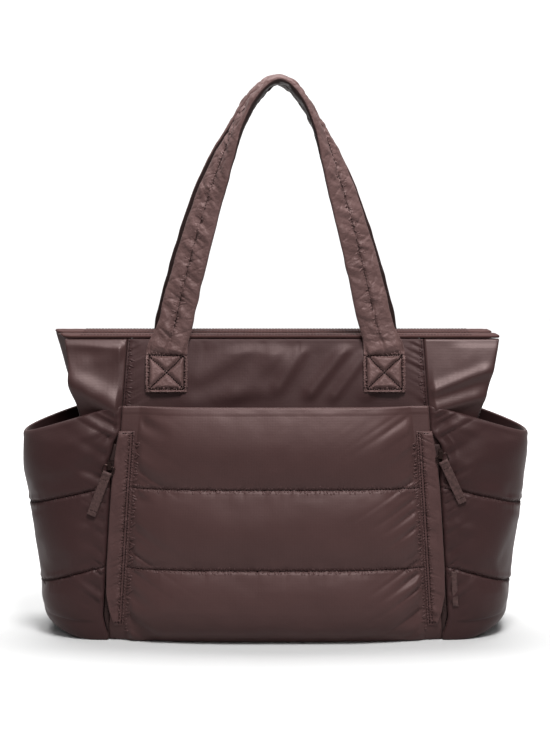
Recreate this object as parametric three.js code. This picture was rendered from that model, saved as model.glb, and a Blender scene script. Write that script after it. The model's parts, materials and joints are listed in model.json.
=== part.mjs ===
// Puffer tote bag: padded nylon panels quilted in three channels, a slip pocket across the front, a slip
// pocket round each end with a zip beside it, a zipped top and two padded handles that stand up.
// Millimetres. X runs right along the front, Y runs to the back and Z up. The origin is on the floor,
// under the middle of the base. In the tables, a share is a fraction of the size named beside it.

import * as THREE from "three";
import { mergeVertices } from "three/addons/utils/BufferGeometryUtils.js";

// Body
const BODY_HEIGHT = 314.5;
const BASE_HALF_LENGTH = 175.3;
const TOP_HALF_LENGTH = 155;
const BASE_HALF_DEPTH = 69;
const TOP_HALF_DEPTH = 36;
const DEPTH_TAPER_POWER = 3.8;
const FRONT_BULGE = 12;
const BACK_BULGE = 8;
const BULGE_POWERS = { across: 3, up: 1.5 };
const SIDE_BULGE = 5;
const SIDE_POWER = 4;
const WALL = 3;
const BASE_THICKNESS = 4;
const GAP = 0.3;

// Wings: the top of each end flares out past the seams and is tucked in between them as a V
const WING_REACH = 77.5;
const WING_START = 95;
const WING_SHARES = {
  left: { front: 0.877, back: 1.097 },
  right: { front: 1.058, back: 0.968 },
};
const WING_DEPTH_SHARE = 0.3;
const FOLD_SHARE = 0.2;
const FOLD_BLEND = { start: 0.2, end: 0.65 };

// Quilting: stitched lines across the pockets, with a padded channel under each one
const POCKET_HEIGHT = 246.5;
const RIM_DROP = 32;
const QUILT_LINES = [
  { height: 0.318, drop: 0.73 },
  { height: 0.657, drop: 0.7 },
  { height: 1, drop: 1 },
];
const PUFF_POWER = 0.7;
const FRONT_PUFF = 8;
const SIDE_PUFF = 5;
const TIP_PUFF_LOSS = { share: 0.55, power: 4 };
const PUFF_RAMP = 45;
const POCKET_WALL = 3;

// Front pocket
const FRONT_POCKET_DEPTH = 12;
const SEAM_BAND = 18;
const POCKET_SWELL = { start: 0.25, height: 0.15, power: 4 };

// Side pockets
const SIDE_TIP_BASE = 248;
const SIDE_TIP_RIM = 268;
const SIDE_POCKET_POWER = 2.6;
const RIM_DROP_POWER = 1.2;
const BOTTOM_RADIUS = 20;
const FLOOR_LINE = { out: 1.2, depth: 0.99 };

// Side zips, their stitched plackets, and the label on the right side pocket
const ZIP_WIDTH = 11;
const ZIP_BOTTOM = 10;
const ZIP_TOP = 207;
const ZIP_TAPER = { bottom: 28, top: 14 };
const ZIP_SLACK = 1;
const TAPE = 1.8;
const PLACKET_BOTTOM = 9;
const PLACKET_TOP = 221;
const PLACKET_REACH = 15;
const PLACKET_OVERHANG = 6.2;
const PLACKET_THICKNESS = 3;
const PLACKET_EDGE = [
  { height: 0, out: -0.25 },
  { height: 0.06, out: 0.2 },
  { height: 0.16, out: 0.87 },
  { height: 0.3, out: 1 },
  { height: 0.7, out: 1 },
  { height: 0.87, out: 0.75 },
  { height: 1, out: 0.28 },
];
const LABEL = { width: 6, height: 37, thickness: 1, top: 74, fromSeam: 12.5 };

// Zip sliders, rings and pulls
const SLIDER_WIDTH = 3.8;
const SLIDER_LENGTH = 11;
const SLIDER_PLATE = 1.6;
const EYE_RIM = 1;
const EYE_HALF_WIDTH = 1.35;
const EYE_HALF_HEIGHT = 2.6;
const RING_WIDTH = 12;
const RING_HEIGHT = 8.4;
const WIRE_RADIUS = 0.7;
const RING_POWER = 6;
const PULL_WIDTH = 9.4;
const PULL_LENGTH = 47;
const PULL_THICKNESS = 2.6;
const PULL_HEAD_RADIUS = 2.3;
const PULL_HOLE_RADIUS = 1.25;
const SIDE_SLIDERS = {
  left: { height: 0.896, lean: 21 },
  right: { height: 0.952, lean: 25 },
};

// Zipped top
const CLOSURE_THICKNESS = 3.2;
const CLOSURE_ZIP_WIDTH = 11;
const CLOSURE_SLIDER_X = 95;
const CLOSURE_PULL_LENGTH = 22;

// Handles
const HANDLE_WIDTH = 36;
const HANDLE_THICKNESS = 9.5;
const HANDLE_APEX_THICKNESS = 11;
const HANDLE_SWELL_POWER = 4;
const HANDLE_OPENS_OVER = 5;
const HANDLE_RISE = 266;
const HANDLE_APEX_DEPTH = 18.8;
const HANDLES = {
  front: { side: -1, halfSpan: 107.5, lean: 4.5 },
  back: { side: 1, halfSpan: 114, lean: 0 },
};
const ARCH_POWERS = { across: 1.8, up: 1, lean: 2 };
const ARCH_SPACING = 0.8;
const TWIST = [
  { rise: 0, turn: 0 },
  { rise: 0.25, turn: 0.2 },
  { rise: 0.55, turn: 0.42 },
  { rise: 0.7, turn: 0.62 },
  { rise: 0.8, turn: 0.84 },
  { rise: 0.9, turn: 0.96 },
  { rise: 1, turn: 1 },
];
const PATCH_WIDTH = 43;
const PATCH_HEIGHT = 40;
const PATCH_THICKNESS = 4;
const PATCH_BELOW_TOP = 14;
const PATCH_SHIFT = 6;

const NYLON = { color: 0x55413f, roughness: 0.5, metalness: 0 };
const ZIP_TAPE = { color: 0x2e2322, roughness: 0.7, metalness: 0 };
const METAL = { color: 0x3a3433, roughness: 0.35, metalness: 0.8 };
const PULL_TAPE = { color: 0x5b4745, roughness: 0.6, metalness: 0 };

const { lerp, smoothstep, degToRad } = THREE.MathUtils;

const bag = new THREE.Group();

function addPiece(parent, name, geometry, finish) {
  const mesh = new THREE.Mesh(geometry, new THREE.MeshStandardMaterial(finish));
  mesh.name = name;
  parent.add(mesh);
  return mesh;
}

// Solids from surfaces

function signedVolume(points, index) {
  const [a, b, c] = [new THREE.Vector3(), new THREE.Vector3(), new THREE.Vector3()];
  let volume = 0;
  for (let i = 0; i < index.length; i += 3) {
    a.fromBufferAttribute(points, index[i]);
    b.fromBufferAttribute(points, index[i + 1]);
    c.fromBufferAttribute(points, index[i + 2]);
    volume += a.dot(b.cross(c)) / 6;
  }
  return volume;
}

// Merges equal points, drops triangles that have become lines and turns every face outward.
function closeSolid(geometry) {
  geometry.deleteAttribute("normal");
  geometry.deleteAttribute("uv");
  const merged = mergeVertices(geometry, 1e-4);
  const index = [];
  const all = merged.getIndex().array;
  for (let i = 0; i < all.length; i += 3) {
    const [a, b, c] = [all[i], all[i + 1], all[i + 2]];
    if (a !== b && b !== c && c !== a) {
      index.push(a, b, c);
    }
  }
  if (signedVolume(merged.getAttribute("position"), index) < 0) {
    index.reverse();
  }
  merged.setIndex(index);
  merged.computeVertexNormals();
  return merged;
}

function fromPoints(points, triangles) {
  const geometry = new THREE.BufferGeometry().setFromPoints(points);
  geometry.setIndex(triangles);
  return closeSolid(geometry);
}

// A padded sheet: two skins, each a function of u and v, closed round their four edges.
function sheetSolid(outer, inner, us, vs) {
  const points = [];
  for (const skin of [outer, inner]) {
    for (const v of vs) {
      for (const u of us) {
        points.push(skin(u, v));
      }
    }
  }
  const at = (skin, row, column) => (skin * vs.length + row) * us.length + column;
  const triangles = [];
  const quad = (a, b, c, d) => triangles.push(a, b, c, a, c, d);
  const lastRow = vs.length - 1;
  const lastColumn = us.length - 1;
  for (let r = 0; r < lastRow; r++) {
    for (let c = 0; c < lastColumn; c++) {
      quad(at(0, r, c), at(0, r, c + 1), at(0, r + 1, c + 1), at(0, r + 1, c));
      quad(at(1, r, c), at(1, r + 1, c), at(1, r + 1, c + 1), at(1, r, c + 1));
    }
    quad(at(0, r, 0), at(0, r + 1, 0), at(1, r + 1, 0), at(1, r, 0));
    quad(at(0, r + 1, lastColumn), at(0, r, lastColumn), at(1, r, lastColumn), at(1, r + 1, lastColumn));
  }
  for (let c = 0; c < lastColumn; c++) {
    quad(at(0, 0, c + 1), at(0, 0, c), at(1, 0, c), at(1, 0, c + 1));
    quad(at(0, lastRow, c), at(0, lastRow, c + 1), at(1, lastRow, c + 1), at(1, lastRow, c));
  }
  return fromPoints(points, triangles);
}

// Joins a row of equal closed sections and caps both ends with a fan round their middle.
function loftSolid(sections) {
  const count = sections[0].length;
  const points = sections.flat();
  const triangles = [];
  for (let s = 0; s < sections.length - 1; s++) {
    for (let i = 0; i < count; i++) {
      const a = s * count + i;
      const b = s * count + ((i + 1) % count);
      triangles.push(a, b, b + count, a, b + count, a + count);
    }
  }
  const caps = [
    { start: 0, turn: -1 },
    { start: (sections.length - 1) * count, turn: 1 },
  ];
  for (const { start, turn } of caps) {
    const middle = new THREE.Vector3();
    for (let i = 0; i < count; i++) {
      middle.addScaledVector(points[start + i], 1 / count);
    }
    const hub = points.push(middle) - 1;
    for (let i = 0; i < count; i++) {
      const rim = [start + i, start + ((i + 1) % count)];
      triangles.push(hub, ...(turn > 0 ? rim : rim.reverse()));
    }
  }
  return fromPoints(points, triangles);
}

// A flat outline given a depth along its own normal.
function extrude(shape, depth, curveSegments = 6) {
  return new THREE.ExtrudeGeometry(shape, { depth, bevelEnabled: false, curveSegments });
}

// A flat plate of one outline between two heights.
function plateSolid(outline, bottom, thickness) {
  const geometry = extrude(new THREE.Shape(outline), thickness);
  geometry.translate(0, 0, bottom);
  return closeSolid(geometry);
}

// Values between two limits at the shares of a list.
const spread = (shares, low, high) => shares.map((share) => lerp(low, high, share));

// Body surfaces

const seamX = (z) => lerp(BASE_HALF_LENGTH, TOP_HALF_LENGTH, z / BODY_HEIGHT);
const seamY = (z) => lerp(BASE_HALF_DEPTH, TOP_HALF_DEPTH, (z / BODY_HEIGHT) ** DEPTH_TAPER_POWER);

// Distance of a panel's outer face from the middle plane; the bulge fades at the seams and the top edge.
function panelDepth(bulge, x, z) {
  const across = Math.min(1, Math.abs(x) / seamX(z)) ** BULGE_POWERS.across;
  return seamY(z) + bulge * (1 - across) * Math.max(0, 1 - z / BODY_HEIGHT) ** BULGE_POWERS.up;
}

// Reads a table's column at a position, by linear steps between its rows.
function readTable(table, by, column, position) {
  const above = Math.max(1, table.findIndex((row) => row[by] >= position - 1e-9));
  const [low, high] = [table[above - 1], table[above]];
  return lerp(low[column], high[column], (position - low[by]) / (high[by] - low[by]));
}

// Padding over one channel: nothing at the stitched lines, a full round between them.
const puff = (share) => Math.sin(Math.PI * THREE.MathUtils.clamp(share, 0, 1)) ** PUFF_POWER;

const CHANNEL_STEPS = [0.12, 0.3, 0.5, 0.7, 0.88, 1];

// Rows of a quilted panel: the channel and the share of the way up it, from the start of the first one.
function channelRows(steps) {
  const rows = [{ channel: 0, share: 0 }];
  for (let channel = 0; channel < QUILT_LINES.length; channel++) {
    for (const share of steps) {
      rows.push({ channel, share });
    }
  }
  return rows;
}

function flatRowHeight({ channel, share }) {
  const below = channel > 0 ? QUILT_LINES[channel - 1].height : 0;
  return POCKET_HEIGHT * lerp(below, QUILT_LINES[channel].height, share);
}

// Columns across a panel: up to 1 they share the padded middle, from 1 to 2 the seam band beside it.
const ACROSS_HALF = [0.22, 0.43, 0.62, 0.76, 0.87, 0.95, 1, 1.5, 2];
const ACROSS = [...ACROSS_HALF.map((u) => -u).reverse(), 0, ...ACROSS_HALF];
const ACROSS_COARSE = [-2, -1, -0.76, -0.43, 0, 0.43, 0.76, 1, 2];

function acrossX(u, z, edge) {
  const padded = seamX(z) - SEAM_BAND;
  const share = Math.abs(u);
  const x = share <= 1 ? share * padded : lerp(padded, seamX(z) - edge, share - 1);
  return Math.sign(u) * x;
}

// Share of the full padding at x: the seam bands at both ends stay flat.
const puffReach = (x, z) => smoothstep(seamX(z) - SEAM_BAND - Math.abs(x), 0, PUFF_RAMP);

function frontPocketInner(x, z) {
  const half = seamX(z) - SEAM_BAND;
  const across = Math.min(1, Math.abs(x) / half);
  const open = lerp(POCKET_SWELL.start, 1, smoothstep(z / POCKET_HEIGHT, 0, POCKET_SWELL.height));
  const hollow = FRONT_POCKET_DEPTH * (1 - across ** POCKET_SWELL.power) * open;
  return panelDepth(FRONT_BULGE, x, z) + GAP + hollow;
}

function quiltPadding(x, row) {
  return FRONT_PUFF * puff(row.share) * puffReach(x, flatRowHeight(row));
}

function addFrontPanel() {
  const skin = (inward) => (u, z) => {
    const x = acrossX(u, z, GAP / 2);
    return new THREE.Vector3(x, inward - panelDepth(FRONT_BULGE, x, z), z);
  };
  const heights = spread([0, 0.25, 0.45, 0.6, 0.72, 0.8, 0.87, 0.94, 1], 0, BODY_HEIGHT);
  addPiece(bag, "front_panel", sheetSolid(skin(0), skin(WALL), ACROSS_COARSE, heights), NYLON);
}

function addBackPanel() {
  const rows = channelRows(CHANNEL_STEPS);
  for (const share of [0.25, 0.5, 0.75, 1]) {
    rows.push({ above: share });
  }
  const heightOf = (row) => (row.above ? lerp(POCKET_HEIGHT, BODY_HEIGHT, row.above) : flatRowHeight(row));
  const place = (u, row, offset) => {
    const z = heightOf(row);
    const x = acrossX(u, z, GAP / 2);
    return new THREE.Vector3(x, panelDepth(BACK_BULGE, x, z) + offset(x), z);
  };
  const outer = (u, row) => place(u, row, (x) => (row.above ? 0 : quiltPadding(x, row)));
  const inner = (u, row) => place(u, row, () => -WALL);
  const across = ACROSS.filter((u) => Math.abs(u) !== 1.5 && Math.abs(u) !== 0.22);
  addPiece(bag, "back_panel", sheetSolid(outer, inner, across, rows), NYLON);
}

function addFrontPocket() {
  const place = (u, row, thickness) => {
    const z = flatRowHeight(row);
    const x = acrossX(u, z, 0);
    return new THREE.Vector3(x, -(frontPocketInner(x, z) + thickness(x)), z);
  };
  const outer = (u, row) => place(u, row, (x) => POCKET_WALL + quiltPadding(x, row));
  const inner = (u, row) => place(u, row, () => 0);
  addPiece(bag, "front_pocket", sheetSolid(outer, inner, ACROSS, channelRows(CHANNEL_STEPS)), NYLON);
}

// Side panels

// A quarter of the superellipse (c, s) at an angle, with its signs kept.
function superPoint(angle, power) {
  const c = Math.max(0, Math.cos(angle)) ** (2 / power);
  const s = Math.sign(Math.sin(angle)) * Math.abs(Math.sin(angle)) ** (2 / power);
  return { c, s };
}

// Walks a row of corners, an equal share of u for each leg, with each inner corner cut to a round fold.
function foldedPoint(corners, u) {
  const legs = corners.length - 1;
  const along = u * legs;
  const nearest = Math.round(along);
  const offset = along - nearest;
  if (nearest > 0 && nearest < legs && Math.abs(offset) < FOLD_SHARE) {
    const t = (offset / FOLD_SHARE + 1) / 2;
    const before = corners[nearest].clone().lerp(corners[nearest - 1], FOLD_SHARE);
    const after = corners[nearest].clone().lerp(corners[nearest + 1], FOLD_SHARE);
    return new THREE.QuadraticBezierCurve(before, corners[nearest], after).getPoint(t);
  }
  const leg = Math.min(legs - 1, Math.floor(along));
  return corners[leg].clone().lerp(corners[leg + 1], along - leg);
}

// Outline of an end in plan, from the front seam to the back seam, as if the bag's right end.
function endOutline(shares, u, z) {
  const rise = z / BODY_HEIGHT;
  const round = superPoint((u - 0.5) * Math.PI, SIDE_POWER);
  const low = new THREE.Vector2(seamX(z) + SIDE_BULGE * round.c, seamY(z) * round.s);
  const flare = Math.max(0, (z - WING_START) / (BODY_HEIGHT - WING_START));
  const tuckX = BASE_HALF_LENGTH + SIDE_BULGE;
  const opening = smoothstep(rise, WING_DEPTH_SHARE, 1);
  const cornerY = seamY(z) * lerp(WING_DEPTH_SHARE, 1, opening);
  const cornerX = (share) => lerp(tuckX, TOP_HALF_LENGTH + WING_REACH * share, flare);
  const corners = [
    new THREE.Vector2(seamX(z), -seamY(z)),
    new THREE.Vector2(cornerX(shares.front), -cornerY),
    new THREE.Vector2(tuckX, 0),
    new THREE.Vector2(cornerX(shares.back), cornerY),
    new THREE.Vector2(seamX(z), seamY(z)),
  ];
  return low.lerp(foldedPoint(corners, u), smoothstep(rise, FOLD_BLEND.start, FOLD_BLEND.end));
}

// Outward normal in plan of a curve of u; at both ends it points along Y, so that ends lie on the seams.
function planNormal(curve, u) {
  if (u <= 0 || u >= 1) {
    return new THREE.Vector2(0, u <= 0 ? -1 : 1);
  }
  const step = 0.01;
  const along = curve(u + step).sub(curve(u - step)).normalize();
  return new THREE.Vector2(along.y, -along.x);
}

const FOLD_STEPS = [0, 0.1, 0.2, 0.225, 0.25, 0.275, 0.3, 0.375, 0.45, 0.5];
const AROUND_END = [...FOLD_STEPS, ...FOLD_STEPS.slice(0, -1).map((u) => 1 - u).reverse()];

function addSidePanel(name, sign, shares) {
  const skin = (inward) => (u, z) => {
    const outline = (v) => endOutline(shares, v, z);
    const normal = planNormal(outline, u);
    const point = outline(u).addScaledVector(normal, -inward);
    return new THREE.Vector3(sign * (point.x + GAP / 2), point.y, z);
  };
  const heights = spread([0, 0.2, 0.32, 0.44, 0.55, 0.66, 0.76, 0.85, 0.93, 1], 0, BODY_HEIGHT);
  addPiece(bag, `side_panel_${name}`, sheetSolid(skin(0), skin(WALL), AROUND_END, heights), NYLON);
}

function addBasePanel() {
  const inside = WALL + GAP;
  const columns = ACROSS_COARSE.map((u) => acrossX(u, BASE_THICKNESS, GAP));
  const halfLength = columns.at(-1);
  const halfDepth = seamY(BASE_THICKNESS) - inside;
  const sideSteps = [-0.75, -0.5, -0.25, 0, 0.25, 0.5, 0.75];
  const sideX = (share) => halfLength + (SIDE_BULGE - WALL) * (1 - Math.abs(share) ** SIDE_POWER);
  const faceY = (bulge, x) => panelDepth(bulge, x, BASE_THICKNESS) - inside;
  const outline = [
    ...columns.map((x) => new THREE.Vector2(x, -faceY(FRONT_BULGE, x))),
    ...sideSteps.map((share) => new THREE.Vector2(sideX(share), share * halfDepth)),
    ...columns.map((x) => new THREE.Vector2(-x, faceY(BACK_BULGE, x))),
    ...sideSteps.map((share) => new THREE.Vector2(-sideX(share), -share * halfDepth)),
  ];
  addPiece(bag, "base_panel", plateSolid(outline, 0, BASE_THICKNESS), NYLON);
}

// Side pockets

// Width of the bare zip beside a pocket at a height: it narrows to nothing past both ends.
function zipWidth(z) {
  const rising = smoothstep(z, ZIP_BOTTOM - ZIP_TAPER.bottom / 3, ZIP_BOTTOM + (ZIP_TAPER.bottom * 2) / 3);
  const closing = smoothstep(z, ZIP_TOP, ZIP_TOP + ZIP_TAPER.top);
  return ZIP_WIDTH * rising * (1 - closing);
}

const pocketFrontX = (z) => seamX(z) + GAP + zipWidth(z);
const pocketBackX = (z) => seamX(z) + GAP;
const tipShare = (z) => smoothstep(z, 0, POCKET_HEIGHT - RIM_DROP);
const pocketTipX = (z) => lerp(SIDE_TIP_BASE, SIDE_TIP_RIM, tipShare(z)) - POCKET_WALL;

// Inner outline of a side pocket in plan, drawn in at the tip by the inset.
function pocketOutline(u, z, inset) {
  const { c, s } = superPoint((u - 0.5) * Math.PI, SIDE_POCKET_POWER);
  const start = u < 0.5 ? pocketFrontX(z) : pocketBackX(z);
  return new THREE.Vector2(lerp(start, pocketTipX(z) - inset, c), (seamY(z) + GAP) * s);
}

// Height of a quilt line, or of the rim, where a side pocket has turned the share c out to its tip.
const sideLineHeight = (line, c) => POCKET_HEIGHT * line.height - RIM_DROP * line.drop * c ** RIM_DROP_POWER;

// Rows up a side pocket: across its floor, round the bottom edge, then up the channels.
function sidePocketRows() {
  const floor = [0, 0.5].map((share) => ({ kind: "floor", share }));
  const edge = [0, 30, 60].map((degrees) => ({ kind: "edge", turn: degToRad(degrees) }));
  const wall = channelRows([0.15, 0.35, 0.55, 0.78, 0.93, 1]).map((row) => ({ kind: "wall", ...row }));
  return [...floor, ...edge, ...wall];
}

// Inner skin point and outward normal of a side pocket at u on a row, as if on the bag's right.
function sidePocketFrame(u, row) {
  const { c } = superPoint((u - 0.5) * Math.PI, SIDE_POCKET_POWER);
  if (row.kind === "floor") {
    const lineY = seamY(0) * FLOOR_LINE.depth * (2 * u - 1);
    const line = new THREE.Vector2(seamX(0) + SIDE_BULGE + FLOOR_LINE.out, lineY);
    const point = line.lerp(pocketOutline(u, 0, BOTTOM_RADIUS - POCKET_WALL), row.share);
    const under = new THREE.Vector3(0, 0, -1);
    return { point: new THREE.Vector3(point.x, point.y, POCKET_WALL), normal: under, c };
  }
  const radius = BOTTOM_RADIUS - POCKET_WALL;
  const turn = row.kind === "edge" ? row.turn : Math.PI / 2;
  const inset = radius * (1 - Math.sin(turn));
  const foot = POCKET_WALL + radius * (1 - Math.cos(turn));
  const z = row.kind === "edge" ? foot : wallHeight(c, row);
  const outline = (v) => pocketOutline(v, z, inset);
  const flat = planNormal(outline, u);
  const normal = new THREE.Vector3(flat.x * Math.sin(turn), flat.y * Math.sin(turn), -Math.cos(turn));
  const point = outline(u);
  return { point: new THREE.Vector3(point.x, point.y, z), normal, c };
}

function wallHeight(c, row) {
  const below = row.channel > 0 ? sideLineHeight(QUILT_LINES[row.channel - 1], c) : BOTTOM_RADIUS;
  return lerp(below, sideLineHeight(QUILT_LINES[row.channel], c), row.share);
}

// Full padding at x on a face that starts at an edge: none under the placket, less on the tight tip.
function sidePuff(x, z, start) {
  const share = THREE.MathUtils.clamp((x - start) / (pocketTipX(z) - start), 0, 1);
  const ramp = smoothstep(x - start - PLACKET_OVERHANG - GAP, 0, PUFF_RAMP);
  return SIDE_PUFF * ramp * (1 - TIP_PUFF_LOSS.share * share ** TIP_PUFF_LOSS.power);
}

function sidePadding(u, row, x, z) {
  const start = u < 0.5 ? pocketFrontX(z) : pocketBackX(z);
  return row.kind === "wall" ? sidePuff(x, z, start) * puff(row.share) : 0;
}

const AROUND_POCKET = [0, 0.05, 0.11, 0.2, 0.3, 0.4, 0.5, 0.6, 0.7, 0.8, 0.89, 0.95, 1];

function addSidePocket(name, sign) {
  const skin = (isOuter) => (u, row) => {
    const { point, normal } = sidePocketFrame(u, row);
    if (isOuter) {
      point.addScaledVector(normal, POCKET_WALL + sidePadding(u, row, point.x, point.z));
    }
    return new THREE.Vector3(sign * point.x, point.y, point.z);
  };
  const sheet = sheetSolid(skin(true), skin(false), AROUND_POCKET, sidePocketRows());
  addPiece(bag, `side_pocket_${name}`, sheet, NYLON);
}

// Distance in front of the middle plane of the side pocket's outer face at x, z, padding included.
function sidePocketFace(x, z) {
  const start = pocketFrontX(z);
  const share = THREE.MathUtils.clamp((x - start) / (pocketTipX(z) - start), 0, 1);
  const inner = (seamY(z) + GAP) * (1 - share ** SIDE_POCKET_POWER) ** (1 / SIDE_POCKET_POWER);
  return inner + POCKET_WALL + sidePuff(x, z, start);
}

// Side zips and plackets

function addSideZip(name, sign) {
  const skin = (out) => (u, z) => {
    const x = lerp(seamX(z) + GAP, Math.max(seamX(z) + ZIP_SLACK, pocketFrontX(z) - ZIP_SLACK), u);
    return new THREE.Vector3(sign * x, -(seamY(z) + GAP + out), z);
  };
  const heights = spread([0, 0.05, 0.12, 0.3, 0.5, 0.7, 0.88, 0.95, 1], ZIP_BOTTOM, ZIP_TOP);
  addPiece(bag, `side_zip_${name}`, sheetSolid(skin(TAPE), skin(0), [0, 0.5, 1], heights), ZIP_TAPE);
}

// Outer edge of a placket, beyond the seam.
function placketEdge(z) {
  const share = (z - PLACKET_BOTTOM) / (PLACKET_TOP - PLACKET_BOTTOM);
  return PLACKET_OVERHANG * readTable(PLACKET_EDGE, "height", "out", Math.min(1, share));
}

const placketBack = (x, z) => frontPocketInner(Math.min(x, seamX(z)), z) + POCKET_WALL + GAP;

function addPlacket(name, sign) {
  const skin = (out) => (u, z) => {
    const x = seamX(z) + lerp(-PLACKET_REACH, placketEdge(z), u);
    return new THREE.Vector3(sign * x, -(placketBack(x, z) + out), z);
  };
  const heights = spread([0, 0.06, 0.16, 0.3, 0.43, 0.57, 0.7, 0.87, 1], PLACKET_BOTTOM, PLACKET_TOP);
  const sheet = sheetSolid(skin(PLACKET_THICKNESS), skin(0), [0, 0.25, 0.5, 0.75, 1], heights);
  addPiece(bag, `zip_placket_${name}`, sheet, NYLON);
}

function addLabel() {
  const skin = (out) => (u, z) => {
    const x = seamX(z) + LABEL.fromSeam + u * LABEL.width;
    return new THREE.Vector3(x, -(sidePocketFace(x, z) + GAP + out), z);
  };
  const heights = spread([0, 0.25, 0.5, 0.75, 1], LABEL.top - LABEL.height, LABEL.top);
  addPiece(bag, "seam_label", sheetSolid(skin(LABEL.thickness), skin(0), [0, 0.5, 1], heights), PULL_TAPE);
}

// Sliders, rings and pulls. Each set is drawn hanging from its eye: outward is -Y and down is -Z.

function addSlider(parent, name, reach) {
  const front = reach + EYE_HALF_WIDTH + EYE_RIM;
  const outline = [
    [0, -SLIDER_LENGTH / 2],
    [SLIDER_PLATE, -SLIDER_LENGTH / 2],
    [front, -EYE_HALF_HEIGHT - EYE_RIM],
    [front, EYE_HALF_HEIGHT + EYE_RIM],
    [SLIDER_PLATE, SLIDER_LENGTH / 2],
    [0, SLIDER_LENGTH / 2],
  ];
  const shape = new THREE.Shape(outline.map(([out, up]) => new THREE.Vector2(out - reach, up)));
  const eye = new THREE.Path().absellipse(0, 0, EYE_HALF_WIDTH, EYE_HALF_HEIGHT, 0, 2 * Math.PI, true);
  shape.holes.push(eye);
  const geometry = extrude(shape, SLIDER_WIDTH);
  geometry.translate(0, 0, -SLIDER_WIDTH / 2);
  geometry.applyMatrix4(SIDE_PROFILE);
  addPiece(parent, name, closeSolid(geometry), METAL);
}

// Turns a profile of outward and up, extruded across, into the bag's frame.
const SIDE_PROFILE = new THREE.Matrix4().makeBasis(
  new THREE.Vector3(0, -1, 0),
  new THREE.Vector3(0, 0, 1),
  new THREE.Vector3(-1, 0, 0),
);

function addRing(parent, name) {
  const points = [];
  const count = 20;
  for (let i = 0; i < count; i++) {
    const angle = (2 * Math.PI * i) / count;
    const x = Math.sign(Math.cos(angle)) * Math.abs(Math.cos(angle)) ** (2 / RING_POWER);
    const z = Math.sign(Math.sin(angle)) * Math.abs(Math.sin(angle)) ** (2 / RING_POWER);
    points.push(new THREE.Vector3((x * RING_WIDTH) / 2, 0, ((z - 1) * RING_HEIGHT) / 2));
  }
  const loop = new THREE.CatmullRomCurve3(points, true);
  const geometry = new THREE.TubeGeometry(loop, 24, WIRE_RADIUS, 6, true);
  addPiece(parent, name, closeSolid(geometry), METAL);
}

function addPull(parent, name, length) {
  const half = PULL_THICKNESS / 2;
  const neck = Math.asin(half / PULL_HEAD_RADIUS);
  const shape = new THREE.Shape();
  shape.moveTo(-half, -length);
  shape.lineTo(half, -length);
  shape.absarc(0, 0, PULL_HEAD_RADIUS, -Math.PI / 2 + neck, (3 * Math.PI) / 2 - neck, false);
  shape.lineTo(-half, -length);
  shape.holes.push(new THREE.Path().absarc(0, 0, PULL_HOLE_RADIUS, 0, 2 * Math.PI, true));
  const geometry = extrude(shape, PULL_WIDTH);
  geometry.translate(0, 0, -PULL_WIDTH / 2);
  geometry.applyMatrix4(SIDE_PROFILE);
  geometry.translate(0, 0, -RING_HEIGHT);
  addPiece(parent, name, closeSolid(geometry), PULL_TAPE);
}

// A slider's eye stands clear of the placket and of the pocket face under its pull.
function addSideSlider(name, sign, { height, lean }) {
  const z = height * ZIP_TOP;
  const x = seamX(z) + (PLACKET_OVERHANG + ZIP_WIDTH) / 2;
  const tape = seamY(z - SLIDER_LENGTH / 2) + GAP + TAPE + GAP;
  const overPlacket = placketBack(x, z) + PLACKET_THICKNESS + GAP + PULL_HEAD_RADIUS;
  const down = RING_HEIGHT + PULL_LENGTH;
  const outX = x + down * Math.sin(degToRad(lean)) + PULL_WIDTH / 2;
  const lowZ = z - down * Math.cos(degToRad(lean));
  const overPocket = sidePocketFace(outX, lowZ) + GAP + PULL_THICKNESS / 2;
  const eye = Math.max(overPlacket, overPocket);
  const place = new THREE.Group();
  place.position.set(sign * x, -eye, z);
  bag.add(place);
  addSlider(place, `side_zip_slider_${name}`, eye - tape);
  const hanging = new THREE.Group();
  hanging.rotation.y = -sign * degToRad(lean);
  place.add(hanging);
  addRing(hanging, `side_zip_ring_${name}`);
  addPull(hanging, `side_zip_pull_${name}`, PULL_LENGTH);
}

// Zipped top

const CLOSURE_BOTTOM = BODY_HEIGHT + GAP;
const CLOSURE_TOP = CLOSURE_BOTTOM + CLOSURE_THICKNESS;

// Where the straight end of the zipped top crosses a depth y, on one side of the bag.
function closureEndX(shares, y) {
  const share = (y + TOP_HALF_DEPTH) / (2 * TOP_HALF_DEPTH);
  return TOP_HALF_LENGTH + WING_REACH * lerp(shares.front, shares.back, share);
}

function closureOutline(nearY, farY) {
  const left = (y) => new THREE.Vector2(-closureEndX(WING_SHARES.left, y), y);
  const right = (y) => new THREE.Vector2(closureEndX(WING_SHARES.right, y), y);
  return [left(nearY), right(nearY), right(farY), left(farY)];
}

function addClosure() {
  const zipEdge = CLOSURE_ZIP_WIDTH / 2;
  const front = closureOutline(-TOP_HALF_DEPTH, -zipEdge - GAP / 2);
  const back = closureOutline(zipEdge + GAP / 2, TOP_HALF_DEPTH);
  const zip = closureOutline(-zipEdge + GAP / 2, zipEdge - GAP / 2);
  addPiece(bag, "closure_strip_front", plateSolid(front, CLOSURE_BOTTOM, CLOSURE_THICKNESS), NYLON);
  addPiece(bag, "closure_strip_back", plateSolid(back, CLOSURE_BOTTOM, CLOSURE_THICKNESS), NYLON);
  addPiece(bag, "closure_zip", plateSolid(zip, CLOSURE_BOTTOM, TAPE), ZIP_TAPE);
}

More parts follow.
